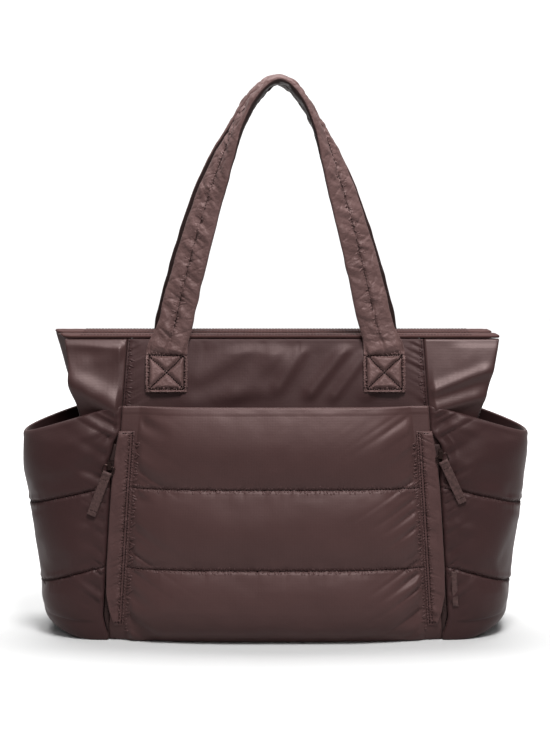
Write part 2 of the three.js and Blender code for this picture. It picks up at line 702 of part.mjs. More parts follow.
function addClosureSlider() {
  const tape = CLOSURE_BOTTOM + TAPE + GAP;
  const eye = CLOSURE_TOP + GAP + PULL_HEAD_RADIUS;
  const place = new THREE.Group();
  place.position.set(CLOSURE_SLIDER_X, 0, eye);
  place.quaternion.setFromRotationMatrix(new THREE.Matrix4().makeBasis(
    new THREE.Vector3(0, 1, 0),
    new THREE.Vector3(0, 0, -1),
    new THREE.Vector3(-1, 0, 0),
  ));
  bag.add(place);
  addSlider(place, "closure_slider", eye - tape);
  addRing(place, "closure_ring");
  addPull(place, "closure_pull", CLOSURE_PULL_LENGTH);
}

// Handles

// Section points of a strap as shares of its half width and half thickness: two padded rolls with a
// stitched groove between them, and a flat sewn-down end.
const STRAP_SECTION = [
  { across: -1, padded: 0, flat: 0.6 },
  { across: -0.8, padded: 0.74, flat: 1 },
  { across: -0.42, padded: 1, flat: 1 },
  { across: 0, padded: 0.62, flat: 1 },
  { across: 0.42, padded: 1, flat: 1 },
  { across: 0.8, padded: 0.74, flat: 1 },
  { across: 1, padded: 0, flat: 0.6 },
];

const PATCH_TOP = BODY_HEIGHT - PATCH_BELOW_TOP;
const PATCH_BOTTOM = PATCH_TOP - PATCH_HEIGHT;
const ARCH_START = CLOSURE_TOP + HANDLE_OPENS_OVER;
const PATCH_X = HANDLES.front.halfSpan + PATCH_SHIFT;

// Width and thickness of a strap at a height: flat and wide on the patch, full above the bag's edge.
function strapSize(z) {
  const open = smoothstep(z, PATCH_TOP, ARCH_START);
  const rise = THREE.MathUtils.clamp((z - ARCH_START) / (HANDLE_RISE - HANDLE_OPENS_OVER), 0, 1);
  const padded = lerp(HANDLE_THICKNESS, HANDLE_APEX_THICKNESS, rise ** HANDLE_SWELL_POWER);
  const thickness = lerp(PATCH_THICKNESS, padded, open);
  return { open, rise, width: lerp(PATCH_WIDTH, HANDLE_WIDTH, open), thickness };
}

// Middle line of a handle from its left patch over the arch to its right patch.
function handlePath({ side, halfSpan, lean }) {
  const bulge = side < 0 ? FRONT_BULGE : BACK_BULGE;
  const half = [];
  for (const share of [0, 0.25, 0.5, 0.75, 1]) {
    const z = lerp(PATCH_BOTTOM, PATCH_TOP, share);
    const face = (height) => panelDepth(bulge, PATCH_X - PATCH_WIDTH / 2, height);
    const slope = (face(z + 1) - face(z - 1)) / 2;
    half.push({ x: PATCH_X, y: face(z) + (GAP + PATCH_THICKNESS / 2) * Math.hypot(1, slope), z, lean: 0 });
  }
  const rimY = TOP_HALF_DEPTH + 2 * GAP + HANDLE_THICKNESS / 2;
  const steps = 14;
  for (let i = 1; i <= steps; i++) {
    const angle = (Math.PI / 2) * (i / steps) ** ARCH_SPACING;
    const up = Math.sin(angle) ** (2 / ARCH_POWERS.up);
    const x = halfSpan * Math.max(0, Math.cos(angle)) ** (2 / ARCH_POWERS.across);
    const y = lerp(rimY, HANDLE_APEX_DEPTH, up);
    half.push({ x, y, z: CLOSURE_TOP + HANDLE_RISE * up, lean: lean * up ** ARCH_POWERS.lean });
  }
  const left = half.map((p) => new THREE.Vector3(p.lean - p.x, side * p.y, p.z));
  const right = half.slice(0, -1).reverse().map((p) => new THREE.Vector3(p.lean + p.x, side * p.y, p.z));
  return new THREE.CatmullRomCurve3([...left, ...right], false, "centripetal");
}

// A strap's face looks away from the bag at its patches and turns until it looks up at the apex.
function addHandle(name, handle) {
  const path = handlePath(handle);
  path.arcLengthDivisions = 800;
  const stations = 50;
  const sections = [];
  for (let i = 0; i <= stations; i++) {
    const middle = path.getPointAt(i / stations);
    const along = path.getTangentAt(i / stations);
    const { open, rise, width, thickness } = strapSize(middle.z);
    const twist = (Math.PI / 2) * readTable(TWIST, "rise", "turn", rise);
    const turn = handle.side * Math.sign(along.z) * Math.cos(twist);
    const away = new THREE.Vector3(0, turn * along.z, -turn * along.y);
    const upward = new THREE.Vector3(-along.z, 0, along.x);
    const face = away.addScaledVector(upward, Math.sin(twist)).normalize();
    const across = new THREE.Vector3().crossVectors(along, face);
    const point = (row, faceSign) => {
      const height = faceSign * lerp(row.flat, row.padded, open) * (thickness / 2);
      return middle.clone().addScaledVector(across, (row.across * width) / 2).addScaledVector(face, height);
    };
    const upper = STRAP_SECTION.map((row) => point(row, 1));
    const lower = STRAP_SECTION.map((row) => point(row, -1)).reverse();
    sections.push([...upper, ...lower]);
  }
  addPiece(bag, `handle_${name}`, loftSolid(sections), NYLON);
}

addFrontPanel();
addBackPanel();
addBasePanel();
addFrontPocket();
for (const [name, sign] of [["left", -1], ["right", 1]]) {
  addSidePanel(name, sign, WING_SHARES[name]);
  addSidePocket(name, sign);
  addSideZip(name, sign);
  addPlacket(name, sign);
  addSideSlider(name, sign, SIDE_SLIDERS[name]);
}
addLabel();
addClosure();
addClosureSlider();
for (const name of ["front", "back"]) {
  addHandle(name, HANDLES[name]);
}

export default bag;
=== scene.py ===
"""Looks of a padded nylon tote bag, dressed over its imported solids.

The bag's forms are worked out in millimetres, from the sizes in `Bag`, and put into meshes in metres. X runs
right along the front, Y to the back and Z up, with the origin on the floor under the middle of the base.
"""

from __future__ import annotations

import json
import logging
import math
from dataclasses import dataclass, field, replace
from enum import Enum
from typing import Callable

import bpy
import numpy as np
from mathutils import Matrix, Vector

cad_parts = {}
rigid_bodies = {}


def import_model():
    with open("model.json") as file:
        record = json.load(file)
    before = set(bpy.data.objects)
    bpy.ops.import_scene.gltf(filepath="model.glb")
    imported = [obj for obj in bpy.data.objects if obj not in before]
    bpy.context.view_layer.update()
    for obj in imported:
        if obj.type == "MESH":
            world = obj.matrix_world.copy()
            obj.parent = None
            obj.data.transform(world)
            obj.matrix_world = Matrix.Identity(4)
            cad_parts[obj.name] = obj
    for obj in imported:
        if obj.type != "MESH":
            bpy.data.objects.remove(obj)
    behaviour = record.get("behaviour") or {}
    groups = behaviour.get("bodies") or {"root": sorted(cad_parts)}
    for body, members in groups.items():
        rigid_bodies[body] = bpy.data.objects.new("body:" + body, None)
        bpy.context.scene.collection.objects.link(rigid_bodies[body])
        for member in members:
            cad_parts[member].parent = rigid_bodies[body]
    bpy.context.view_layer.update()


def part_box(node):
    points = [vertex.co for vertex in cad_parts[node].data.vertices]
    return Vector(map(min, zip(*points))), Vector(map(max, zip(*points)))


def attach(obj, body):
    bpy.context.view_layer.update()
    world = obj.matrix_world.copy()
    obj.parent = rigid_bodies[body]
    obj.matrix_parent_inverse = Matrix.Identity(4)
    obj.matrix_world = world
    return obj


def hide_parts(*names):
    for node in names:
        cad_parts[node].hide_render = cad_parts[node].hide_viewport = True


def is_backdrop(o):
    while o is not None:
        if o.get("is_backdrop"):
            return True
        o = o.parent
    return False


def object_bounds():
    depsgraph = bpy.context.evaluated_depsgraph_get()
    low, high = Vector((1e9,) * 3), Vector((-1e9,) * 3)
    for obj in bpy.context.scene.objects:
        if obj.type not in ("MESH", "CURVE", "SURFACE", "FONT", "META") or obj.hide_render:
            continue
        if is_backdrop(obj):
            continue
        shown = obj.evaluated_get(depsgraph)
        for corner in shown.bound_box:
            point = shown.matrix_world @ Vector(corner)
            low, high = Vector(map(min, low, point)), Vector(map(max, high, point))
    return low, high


Array = np.ndarray
Colour = tuple[float, float, float, float]
MM = 0.001
log = logging.getLogger("tote_bag")


# Small mathematics


def lerp(low: Array | float, high: Array | float, share: Array | float) -> Array:
    """Value at a share of the way from low to high."""
    return low + (high - low) * share


def smoothstep(value: Array, low: float, high: float) -> Array:
    """Smooth rise from 0 at low to 1 at high."""
    share = np.clip((value - low) / (high - low), 0.0, 1.0)
    return share * share * (3.0 - 2.0 * share)


def bump(distance: Array, width: float) -> Array:
    """A soft bump, 1 high at no distance: exp(-(distance / width)^2)."""
    return np.exp(-((distance / width) ** 2))


def signed_power(value: Array, power: float) -> Array:
    """Power of the size of a value, with its sign kept."""
    return np.sign(value) * np.abs(value) ** power


def unit(vectors: Array) -> Array:
    """Vectors along the last axis, made one long."""
    return vectors / np.maximum(np.linalg.norm(vectors, axis=-1, keepdims=True), 1e-12)


def spread(*coordinates: Array | float) -> Array:
    """Points from their coordinates, spread to one shape."""
    return np.stack(np.broadcast_arrays(*coordinates), axis=-1)


def covered(line: Array) -> Array:
    """Distance from the start of a line to each of its points."""
    return np.concatenate([[0.0], np.cumsum(np.linalg.norm(np.diff(line, axis=0), axis=1))])


def read_line(places: Array, marks: Array, values: Array) -> Array:
    """Rows of values at places along a line, mixed from the rows at the marks around each place."""
    return np.stack([np.interp(places, marks, column) for column in values.T], axis=-1)


def eased_shares(count: int, ease: float = 0.5) -> Array:
    """Shares from 0 to 1, closer together at both ends: a mix of even steps and (1 - cos(pi t)) / 2."""
    even = np.linspace(0.0, 1.0, count + 1)
    return lerp(even, (1.0 - np.cos(np.pi * even)) / 2.0, ease)


class Noise:
    """Smooth seeded noise from -1 to 1, on a repeating lattice of random values."""

    SIZE = 128

    def __init__(self, seed: int) -> None:
        """Draws the lattice for a seed."""
        self.lattice = np.random.default_rng(seed).uniform(-1.0, 1.0, (self.SIZE, self.SIZE))

    def field(self, x: Array, y: Array) -> Array:
        """Value at x, y: the four lattice values around the point, mixed by smooth shares."""
        x, y = np.broadcast_arrays(np.asarray(x, float), np.asarray(y, float))
        column, row = np.floor(x).astype(int), np.floor(y).astype(int)
        s, t = x - column, y - row
        s, t = s * s * (3 - 2 * s), t * t * (3 - 2 * t)
        pick = lambda r, c: self.lattice[(row + r) % self.SIZE, (column + c) % self.SIZE]
        return lerp(lerp(pick(0, 0), pick(0, 1), s), lerp(pick(1, 0), pick(1, 1), s), t)

    def line(self, x: Array) -> Array:
        """Value along a line."""
        return self.field(x, 0.37)


@dataclass(frozen=True)
class Puckers:
    """Short gathers square to a seam.

    Height = amplitude * wave(along) * exp(-(away / reach)^1.4), where wave is noise with sharpened valleys
    and the reach changes along the seam.
    """

    amplitude: float
    spacing: float
    reach: float
    seed: int
    slant: float = 0.0

    def height(self, along: Array, away: Array) -> Array:
        """Height of the gathers at a place given along the seam and away from it, in mm."""
        noise = Noise(self.seed)
        lead = (along + self.slant * away) / self.spacing
        wave = noise.line(lead) + 0.35 * noise.line(2.3 * lead + 40)
        valley = -np.clip(1.0 - np.abs(noise.line(lead * 0.8 + 17)) * 2.6, 0.0, 1.0) ** 2
        reach = self.reach * (1.0 + 0.65 * noise.line(along / (1.7 * self.spacing) + 71))
        return self.amplitude * (0.8 * wave + 0.9 * valley) * np.exp(-((np.abs(away) / reach) ** 1.4))


@dataclass(frozen=True)
class Crease:
    """A soft fold along a line between two places on a panel, in mm."""

    start: tuple[float, float]
    end: tuple[float, float]
    width: float
    height: float

    def lift(self, x: Array, z: Array) -> Array:
        """Height of the fold at x, z: height * exp(-(distance / width)^2), fading past both ends."""
        a, b = np.array(self.start), np.array(self.end)
        length = np.hypot(*(b - a))
        along = ((x - a[0]) * (b[0] - a[0]) + (z - a[1]) * (b[1] - a[1])) / length
        away = ((x - a[0]) * (b[1] - a[1]) - (z - a[1]) * (b[0] - a[0])) / length
        over = np.maximum(0.0, np.maximum(-along, along - length))
        return self.height * np.exp(-((away / self.width) ** 2) - (over / (1.5 * self.width)) ** 2)


# Meshes from grids


def grid_faces(rows: int, columns: int, wrap: bool = False) -> Array:
    """Four-sided faces of a grid of points held row by row.

    Args:
        rows: How many rows of points there are.
        columns: How many points each row has.
        wrap: Whether each row closes on itself.

    Returns:
        An array of faces by four point numbers.
    """
    row, column = np.mgrid[0 : rows - 1, 0 : columns if wrap else columns - 1]
    after = (column + 1) % columns
    low, high = row * columns, (row + 1) * columns
    return spread(low + column, low + after, high + after, high + column).reshape(-1, 4)


def end_caps(rings: int, count: int) -> Array:
    """Three-sided faces that close a tube of rings, round two hubs that follow its points."""
    ring = np.arange(count)
    after = np.roll(ring, -1)
    hub, top = rings * count, (rings - 1) * count
    low = spread(hub, after, ring, ring)
    return np.concatenate([low, spread(hub + 1, ring + top, after + top, after + top)])


def signed_volume(points: Array, faces: Array) -> float:
    """Volume inside a closed mesh of four-sided faces, below zero if it is inside out."""
    a, b, c, d = (points[faces[:, i]] for i in range(4))
    return float(np.einsum("ij,ij->", a, np.cross(b, c) + np.cross(c, d)) / 6.0)


def make_object(
    name: str, points: Array, faces: Array, uv: Array | None = None, closed: bool = True
) -> bpy.types.Object:
    """Puts points in mm and four-sided faces into a new object in metres.

    Args:
        name: The object's name.
        points: Points by three.
        faces: Faces by four point numbers; a face whose last two numbers are equal has three sides.
        uv: Place of each point on the cloth, in mm, or None.
        closed: Whether the mesh is closed, so that its faces can be turned outwards by its volume.

    Returns:
        The new object, linked to the scene.
    """
    if closed and signed_volume(points, faces) < 0:
        faces = faces[:, ::-1]
    keep = np.ones(faces.shape, bool)
    for corner in range(4):
        keep[:, corner] = faces[:, corner] != faces[:, corner - 1]
    faces, keep = faces[keep.sum(1) > 2], keep[keep.sum(1) > 2]
    sides = keep.sum(1)
    loops = faces[keep]
    mesh = bpy.data.meshes.new(name)
    mesh.vertices.add(len(points))
    mesh.vertices.foreach_set("co", (points * MM).astype(np.float32).ravel())
    mesh.loops.add(len(loops))
    mesh.loops.foreach_set("vertex_index", loops.astype(np.int32))
    mesh.polygons.add(len(faces))
    mesh.polygons.foreach_set("loop_start", np.concatenate([[0], np.cumsum(sides)[:-1]]).astype(np.int32))
    mesh.update(calc_edges=True)
    mesh.validate()
    if uv is not None:
        layer = mesh.uv_layers.new(name="cloth")
        used = np.empty(len(mesh.loops), np.int32)
        mesh.loops.foreach_get("vertex_index", used)
        layer.data.foreach_set("uv", (uv[used] * MM).astype(np.float32).ravel())
    mesh.shade_smooth()
    made = bpy.data.objects.new(name, mesh)
    bpy.context.scene.collection.objects.link(made)
    return made


def steps_along(points: Array, axis: int) -> Array:
    """Distance covered from the first row or column of a grid, along its middle line, in mm."""
    return covered(np.take(points, points.shape[1 - axis] // 2, axis=1 - axis))


def cloth_uv(points: Array) -> Array:
    """Place on the cloth of each point of a grid: distance along its middle row and its middle column."""
    across, up = np.meshgrid(steps_along(points, 1), steps_along(points, 0))
    return spread(across, up).reshape(-1, 2)


def grid_normals(points: Array) -> Array:
    """Unit normals of a grid: the cross product of its slopes along the rows and along the columns."""
    return unit(np.cross(np.gradient(points, axis=1), np.gradient(points, axis=0)))


@dataclass
class Sheet:
    """A padded sheet: an outer and an inner grid of points in mm, closed round their edges."""

    name: str
    outer: Array
    inner: Array
    edge_radius: float = 1.5

    def rounded(self) -> tuple[Array, Array]:
        """Both grids drawn together at their edges: the wall's share is sqrt(1 - (1 - d / r)^2)."""
        share = np.ones(self.outer.shape[:2])
        for axis in (0, 1):
            along = steps_along(self.inner, axis)
            for distance in (along, along[-1] - along):
                near = np.clip(1.0 - distance / self.edge_radius, 0.0, 1.0)
                fall = np.sqrt(np.clip(1.0 - near**2, 0.02, 1.0))
                share = np.minimum(share, fall[:, None] if axis == 0 else fall[None, :])
        middle = (self.outer + self.inner) / 2
        share = share[..., None]
        return lerp(middle, self.outer, share), lerp(middle, self.inner, share)

    def build(self) -> bpy.types.Object:
        """Makes the sheet's object."""
        outer, inner = self.rounded()
        rows, columns = outer.shape[:2]
        skin = grid_faces(rows, columns)
        numbers = np.arange(rows * columns).reshape(rows, columns)
        rim = np.concatenate([numbers[0, :-1], numbers[:-1, -1], numbers[-1, :0:-1], numbers[:0:-1, 0]])
        after = np.roll(rim, -1)
        count = rows * columns
        border = spread(after, rim, rim + count, after + count)
        faces = np.concatenate([skin, skin[:, ::-1] + count, border])
        points = np.concatenate([outer.reshape(-1, 3), inner.reshape(-1, 3)])
        uv = cloth_uv(outer)
        return make_object(self.name, points, faces, np.concatenate([uv, uv]))


def loft(name: str, sections: Array, closed_path: bool = False) -> bpy.types.Object:
    """Joins equal closed sections along a path and closes both ends with a fan round their middle.

    Args:
        name: The object's name.
        sections: Stations by section points by three, in mm.
        closed_path: Whether the last station joins the first, so that there are no ends.

    Returns:
        The new object.
    """
    stations, count = sections.shape[:2]
    points = sections.reshape(-1, 3)
    faces = grid_faces(stations, count, wrap=True)
    along = steps_along(sections, 0)
    middle = sections[stations // 2]
    across = np.cumsum(np.linalg.norm(np.roll(middle, -1, axis=0) - middle, axis=-1))
    uv = np.stack(np.meshgrid(np.concatenate([[0.0], across[:-1]]), along), axis=-1).reshape(-1, 2)
    if closed_path:
        first = np.arange(count)
        last = (stations - 1) * count + first
        join = spread(last, np.roll(last, -1), np.roll(first, -1), first)
        faces = np.concatenate([faces, join])
    else:
        faces = np.concatenate([faces, end_caps(stations, count)])
        points = np.concatenate([points, sections[[0, -1]].mean(1)])
        uv = np.concatenate([uv, [[0.0, 0.0], [0.0, along[-1]]]])
    return make_object(name, points, faces, uv)


def flat_section(half_count: int, power: float) -> tuple[Array, Array, Array]:
    """A flat closed section: a = sin(pi t / 2) across, and (1 - |a|^p)^(1 / p) for its height.

    Args:
        half_count: Points on each face.
        power: How square the section is.

    Returns:
        Place across from -1 to 1, share of the half thickness, and 1 on the upper or -1 on the lower face.
    """
    a = np.sin(np.linspace(-np.pi / 2, np.pi / 2, half_count))
    across = np.concatenate([a, a[-2:0:-1]])
    side = np.concatenate([np.ones(half_count), -np.ones(half_count - 2)])
    return across, np.clip(1 - np.abs(across) ** power, 0, None) ** (1 / power), side


def repeat_shape(name: str, points: Array, faces: Array, places: Array, frames: Array) -> bpy.types.Object:
    """Copies one small closed shape to many places in a single object.

    Args:
        name: The object's name.
        points: Points of the shape by three, in mm.
        faces: Its four-sided faces.
        places: Copies by three.
        frames: Copies by three axes by three: the shape's X, Y and Z at each place.

    Returns:
        The new object.
    """
    if signed_volume(points, faces) < 0:
        faces = faces[:, ::-1]
    moved = np.einsum("pk,nkj->npj", points, frames) + places[:, None, :]
    shift = (np.arange(len(places)) * len(points))[:, None, None]
    return make_object(name, moved.reshape(-1, 3), (faces[None] + shift).reshape(-1, 4), closed=False)


def bead(length: float, width: float, height: float, around: int = 8, along: int = 7) -> tuple[Array, Array]:
    """Points and faces of a long bead: a superellipsoid of power 2.6, X along its length."""
    angle = np.linspace(0.0, 2 * np.pi, around, endpoint=False)
    turn = np.linspace(-np.pi / 2, np.pi / 2, along + 2)[1:-1]
    x = signed_power(np.sin(turn), 2 / 2.6)[:, None] * length / 2
    fat = np.abs(np.cos(turn))[:, None] ** (2 / 2.6)
    body = spread(x, fat * np.cos(angle) * width / 2, fat * np.sin(angle) * height / 2)
    ends = np.array([[-length / 2, 0, 0], [length / 2, 0, 0]])
    faces = np.concatenate([grid_faces(along, around, wrap=True), end_caps(along, around)])
    return np.concatenate([body.reshape(-1, 3), ends]), faces


def sample(grid: Array, row: Array, column: Array) -> Array:
    """Values of a grid at fractional rows and columns, mixed from the four around each place."""
    rows, columns = grid.shape[:2]
    r = np.clip(np.floor(row).astype(int), 0, rows - 2)
    c = np.clip(np.floor(column).astype(int), 0, columns - 2)
    s, t = (row - r)[..., None], (column - c)[..., None]
    return lerp(lerp(grid[r, c], grid[r, c + 1], t), lerp(grid[r + 1, c], grid[r + 1, c + 1], t), s)


def columns_at(grid: Array, rows: Array, goals: Array) -> Array:
    """Fractional column where each row of a grid of rising values reaches its goal."""
    numbers = np.arange(grid.shape[1])
    return np.array([np.interp(goal, grid[int(row)], numbers) for row, goal in zip(rows, goals)])


@dataclass(frozen=True)
class Stitching:
    """A row of machine stitches that lies on a face."""

    pitch: float = 3.4
    thread: float = 0.75

    def lay(self, name: str, lines: list[tuple[Array, Array]]) -> bpy.types.Object:
        """Lays stitches along lines.

        Args:
            name: The object's name.
            lines: Pairs of a line's points and the face's unit normals there, in mm.

        Returns:
            One object with all the stitches.
        """
        places, frames = [], []
        for points, normals in lines:
            length = covered(points)
            at = np.arange(self.pitch / 2, length[-1], self.pitch)
            ahead, behind = (read_line(at + step * self.pitch, length, points) for step in (0.3, -0.3))
            along = unit(ahead - behind)
            up = unit(read_line(at, length, normals))
            side = unit(np.cross(up, along))
            places.append(read_line(at, length, points) + 0.12 * self.thread * up)
            frames.append(np.stack([along, side, np.cross(along, side)], axis=1))
        shape, faces = bead(self.pitch * 0.78, self.thread, self.thread * 0.8, around=6, along=5)
        return repeat_shape(name, shape, faces, np.concatenate(places), np.concatenate(frames))


@dataclass
class Skin:
    """A grid of points in mm and its outward normals, read by distance along its middle lines."""

    points: Array
    normals: Array

    @property
    def wide(self) -> float:
        """Length of the middle row, in mm."""
        return steps_along(self.points, 1)[-1]

    @property
    def tall(self) -> float:
        """Length of the middle column, in mm."""
        return steps_along(self.points, 0)[-1]

    def at(self, along: Array, up: Array) -> tuple[Array, Array]:
        """Points and unit normals at places on the cloth.

        Args:
            along: Distances along the middle row, in mm.
            up: Distances along the middle column, in mm.

        Returns:
            The points and the normals, each places by three.
        """
        rows, columns = self.points.shape[:2]
        row = np.interp(up, steps_along(self.points, 0), np.arange(rows))
        column = np.interp(along, steps_along(self.points, 1), np.arange(columns))
        return sample(self.points, row, column), unit(sample(self.normals, row, column))


@dataclass(frozen=True)
class Gathers:
    """Small ridges of cloth that stand square to a seam, one beside each stitch."""

    pitch: float = 3.4
    reach: float = 4.5
    height: float = 1.0
    lean: float = 0.5
    sides: tuple[int, ...] = (-1, 1)
    seed: int = 1

    def lay(self, name: str, skin: Skin, seams: list[Array]) -> bpy.types.Object:
        """Lays ridges along seams.

        Args:
            name: The object's name.
            skin: The cloth.
            seams: Lines on the cloth, each points by two, in mm.

        Returns:
            One object with all the ridges.
        """
        draw = np.random.default_rng(self.seed)
        places, frames = [], []
        for seam in seams:
            length = covered(seam)
            at = np.arange(self.pitch / 2, length[-1], self.pitch)
            along = unit(read_line(at + 0.5, length, seam) - read_line(at - 0.5, length, seam))
            away = spread(-along[:, 1], along[:, 0])
            for side in self.sides:
                reach = self.reach * draw.uniform(0.35, 1.4, (len(at), 1))
                shift = draw.uniform(-0.3, 0.3, (len(at), 1)) * self.pitch
                lean = self.lean * draw.uniform(-0.6, 1.0, (len(at), 1))
                start = read_line(at, length, seam) + away * side * 0.4 + along * shift
                low, _ = skin.at(*start.T)
                high, normal = skin.at(*(start + away * side * reach + along * lean * reach).T)
                axis = high - low
                normal = unit(normal - unit(axis) * (normal * unit(axis)).sum(-1, keepdims=True))
                tall = self.height * draw.uniform(0.6, 1.2, (len(at), 1))
                wide = np.cross(normal, unit(axis)) * self.pitch * 0.75
                places.append((low + high) / 2 - normal * tall * 0.12)
                frames.append(np.stack([axis, wide, normal * tall], axis=1))
        shape, faces = bead(1.0, 1.0, 1.0, around=8, along=4)
        return repeat_shape(name, shape, faces, np.concatenate(places), np.concatenate(frames))


def gather(name: str, skin: Skin, seams: list[Array], gathers: Gathers, finish: Cloth) -> None:
    """Lays gathers along seams of a skin, each seam points by two on its cloth, in the cloth's finish."""
    settle(gathers.lay(f"{name}_gathers", skin, seams), finish, Slot.NYLON)


def stitch(
    name: str,
    lines: list[tuple[Array, Array]],
    stitching: Stitching = Stitching(),
    slot: Slot | None = None,
) -> None:
    """Lays stitches along lines, in thread.

    Args:
        name: Start of the new object's name.
        lines: Pairs of a line's points and the face's unit normals there, in mm.
        stitching: The stitches.
        slot: The record's slot, or None for the nylon's.
    """
    settle(stitching.lay(f"{name}_stitches", lines), FINISHES.thread, slot or Slot.NYLON)


def sew_quilt(
    name: str, skin: Skin, rows: list[int], margin: float, gathers: Gathers, finish: Cloth
) -> None:
    """Sews quilt lines along rows of a skin.

    Args:
        name: Start of the new objects' names.
        skin: The cloth.
        rows: The rows' numbers.
        margin: How far short of both sides the lines stop, in mm.
        gathers: The ridges of cloth beside the lines.
        finish: The cloth's finish.
    """
    up = steps_along(skin.points, 0)
    lines = [straight((margin, up[row]), (skin.wide - margin, up[row])) for row in rows]
    stitch(f"{name}_quilt", [skin.at(*line.T) for line in lines])
    gather(f"{name}_quilt", skin, lines, gathers, finish)


def straight(start: tuple[float, float], end: tuple[float, float], step: float = 1.0) -> Array:
    """Points every step along a straight line on the cloth."""
    count = max(2, int(math.dist(start, end) / step))
    return np.linspace(start, end, count)


def both_sides(skin: Skin, inset: float, low: float, high: float) -> list[Array]:
    """Seams along both sides of a skin: down the left one, and up the right one."""
    left, right = inset, skin.wide - inset
    return [straight((left, high), (left, low)), straight((right, low), (right, high))]


# Cloth simulation


@dataclass(frozen=True)
class Billow:
    """Lets a sewn-down sheet swell: Blender's cloth, spare cloth and pressure, with the seams held."""

    spare: float = 0.007
    pressure: float = 3.0
    frames: int = 22
    stiffness: float = 12.0
    bending: float = 0.06
    cap: float = 1.8
    calm: int = 3

    def lift(self, name: str, points: Array, held: Array) -> Array:
        """Runs the cloth and gives how far each point of the sheet moved.

        Args:
            name: A name for the sheet while it is simulated.
            points: Rows by columns by three, in mm.
            held: Rows by columns, True where the sheet is sewn down.

        Returns:
            Rows by columns by three, in mm, smoothed along the rows, each move no longer than the cap.
        """
        rows, columns = points.shape[:2]
        made = make_object(f"{name}_cloth", points.reshape(-1, 3), grid_faces(rows, columns), closed=False)
        sewn = made.vertex_groups.new(name="sewn")
        sewn.add(np.flatnonzero(held.ravel()).tolist(), 1.0, "REPLACE")
        cloth = made.modifiers.new("cloth", "CLOTH")
        cloth.collision_settings.use_collision = False
        cloth.collision_settings.use_self_collision = False
        settings = cloth.settings
        settings.quality = 6
        settings.mass = 0.2
        settings.tension_stiffness = settings.compression_stiffness = self.stiffness
        settings.shear_stiffness = self.stiffness / 3
        settings.bending_stiffness = self.bending
        settings.vertex_group_mass = "sewn"
        settings.shrink_min = -self.spare
        settings.use_pressure = True
        settings.uniform_pressure_force = self.pressure
        settings.effector_weights.gravity = 0.0
        cloth.point_cache.frame_start, cloth.point_cache.frame_end = 1, self.frames
        scene = bpy.context.scene
        for frame in range(1, self.frames + 1):
            scene.frame_set(frame)
        swollen = made.evaluated_get(bpy.context.evaluated_depsgraph_get()).data
        after = np.empty(rows * columns * 3, np.float32)
        swollen.vertices.foreach_get("co", after)
        mesh = made.data
        bpy.data.objects.remove(made)
        bpy.data.meshes.remove(mesh)
        scene.frame_set(1)
        move = after.reshape(rows, columns, 3) / MM - points
        for _ in range(self.calm):
            move[:, 1:-1] = (move[:, :-2] + 2 * move[:, 1:-1] + move[:, 2:]) / 4
        size = np.linalg.norm(move, axis=-1, keepdims=True)
        return move * np.tanh(size / self.cap) * self.cap / np.maximum(size, 1e-9)


def refine(coarse: Array, rows: Array, columns: Array) -> Array:
    """Reads a coarse grid at shares of its rows and columns, by a smooth cubic through its points.

    Args:
        coarse: Rows by columns by values.
        rows: Fractional row numbers of the fine grid.
        columns: Fractional column numbers of the fine grid.

    Returns:
        Fine rows by fine columns by values.
    """

    def weights(places: Array, count: int) -> Array:
        """Share of each coarse line in each fine one: the Catmull-Rom weights."""
        base = np.clip(np.floor(places).astype(int), 0, count - 2)
        t = places - base
        mix = (
            -0.5 * t + t**2 - 0.5 * t**3,
            1 - 2.5 * t**2 + 1.5 * t**3,
            0.5 * t + 2 * t**2 - 1.5 * t**3,
            -0.5 * t**2 + 0.5 * t**3,
        )
        table = np.zeros((len(places), count))
        for offset, share in zip((-1, 0, 1, 2), mix):
            np.add.at(table, (np.arange(len(places)), np.clip(base + offset, 0, count - 1)), share)
        return table

    down, across = weights(rows, coarse.shape[0]), weights(columns, coarse.shape[1])
    return np.einsum("ri,ijk,cj->rck", down, coarse, across)


# Sizes and forms of the bag, as its solids have them


@dataclass(frozen=True)
class WingShares:
    """How far each top corner of an end flares out, as shares of the wings' reach."""

    front: float
    back: float


@dataclass(frozen=True)
class QuiltLine:
    """A stitched line, as a share of the pocket's height, and its drop at the tip as a share of the rim's."""

    height: float
    drop: float


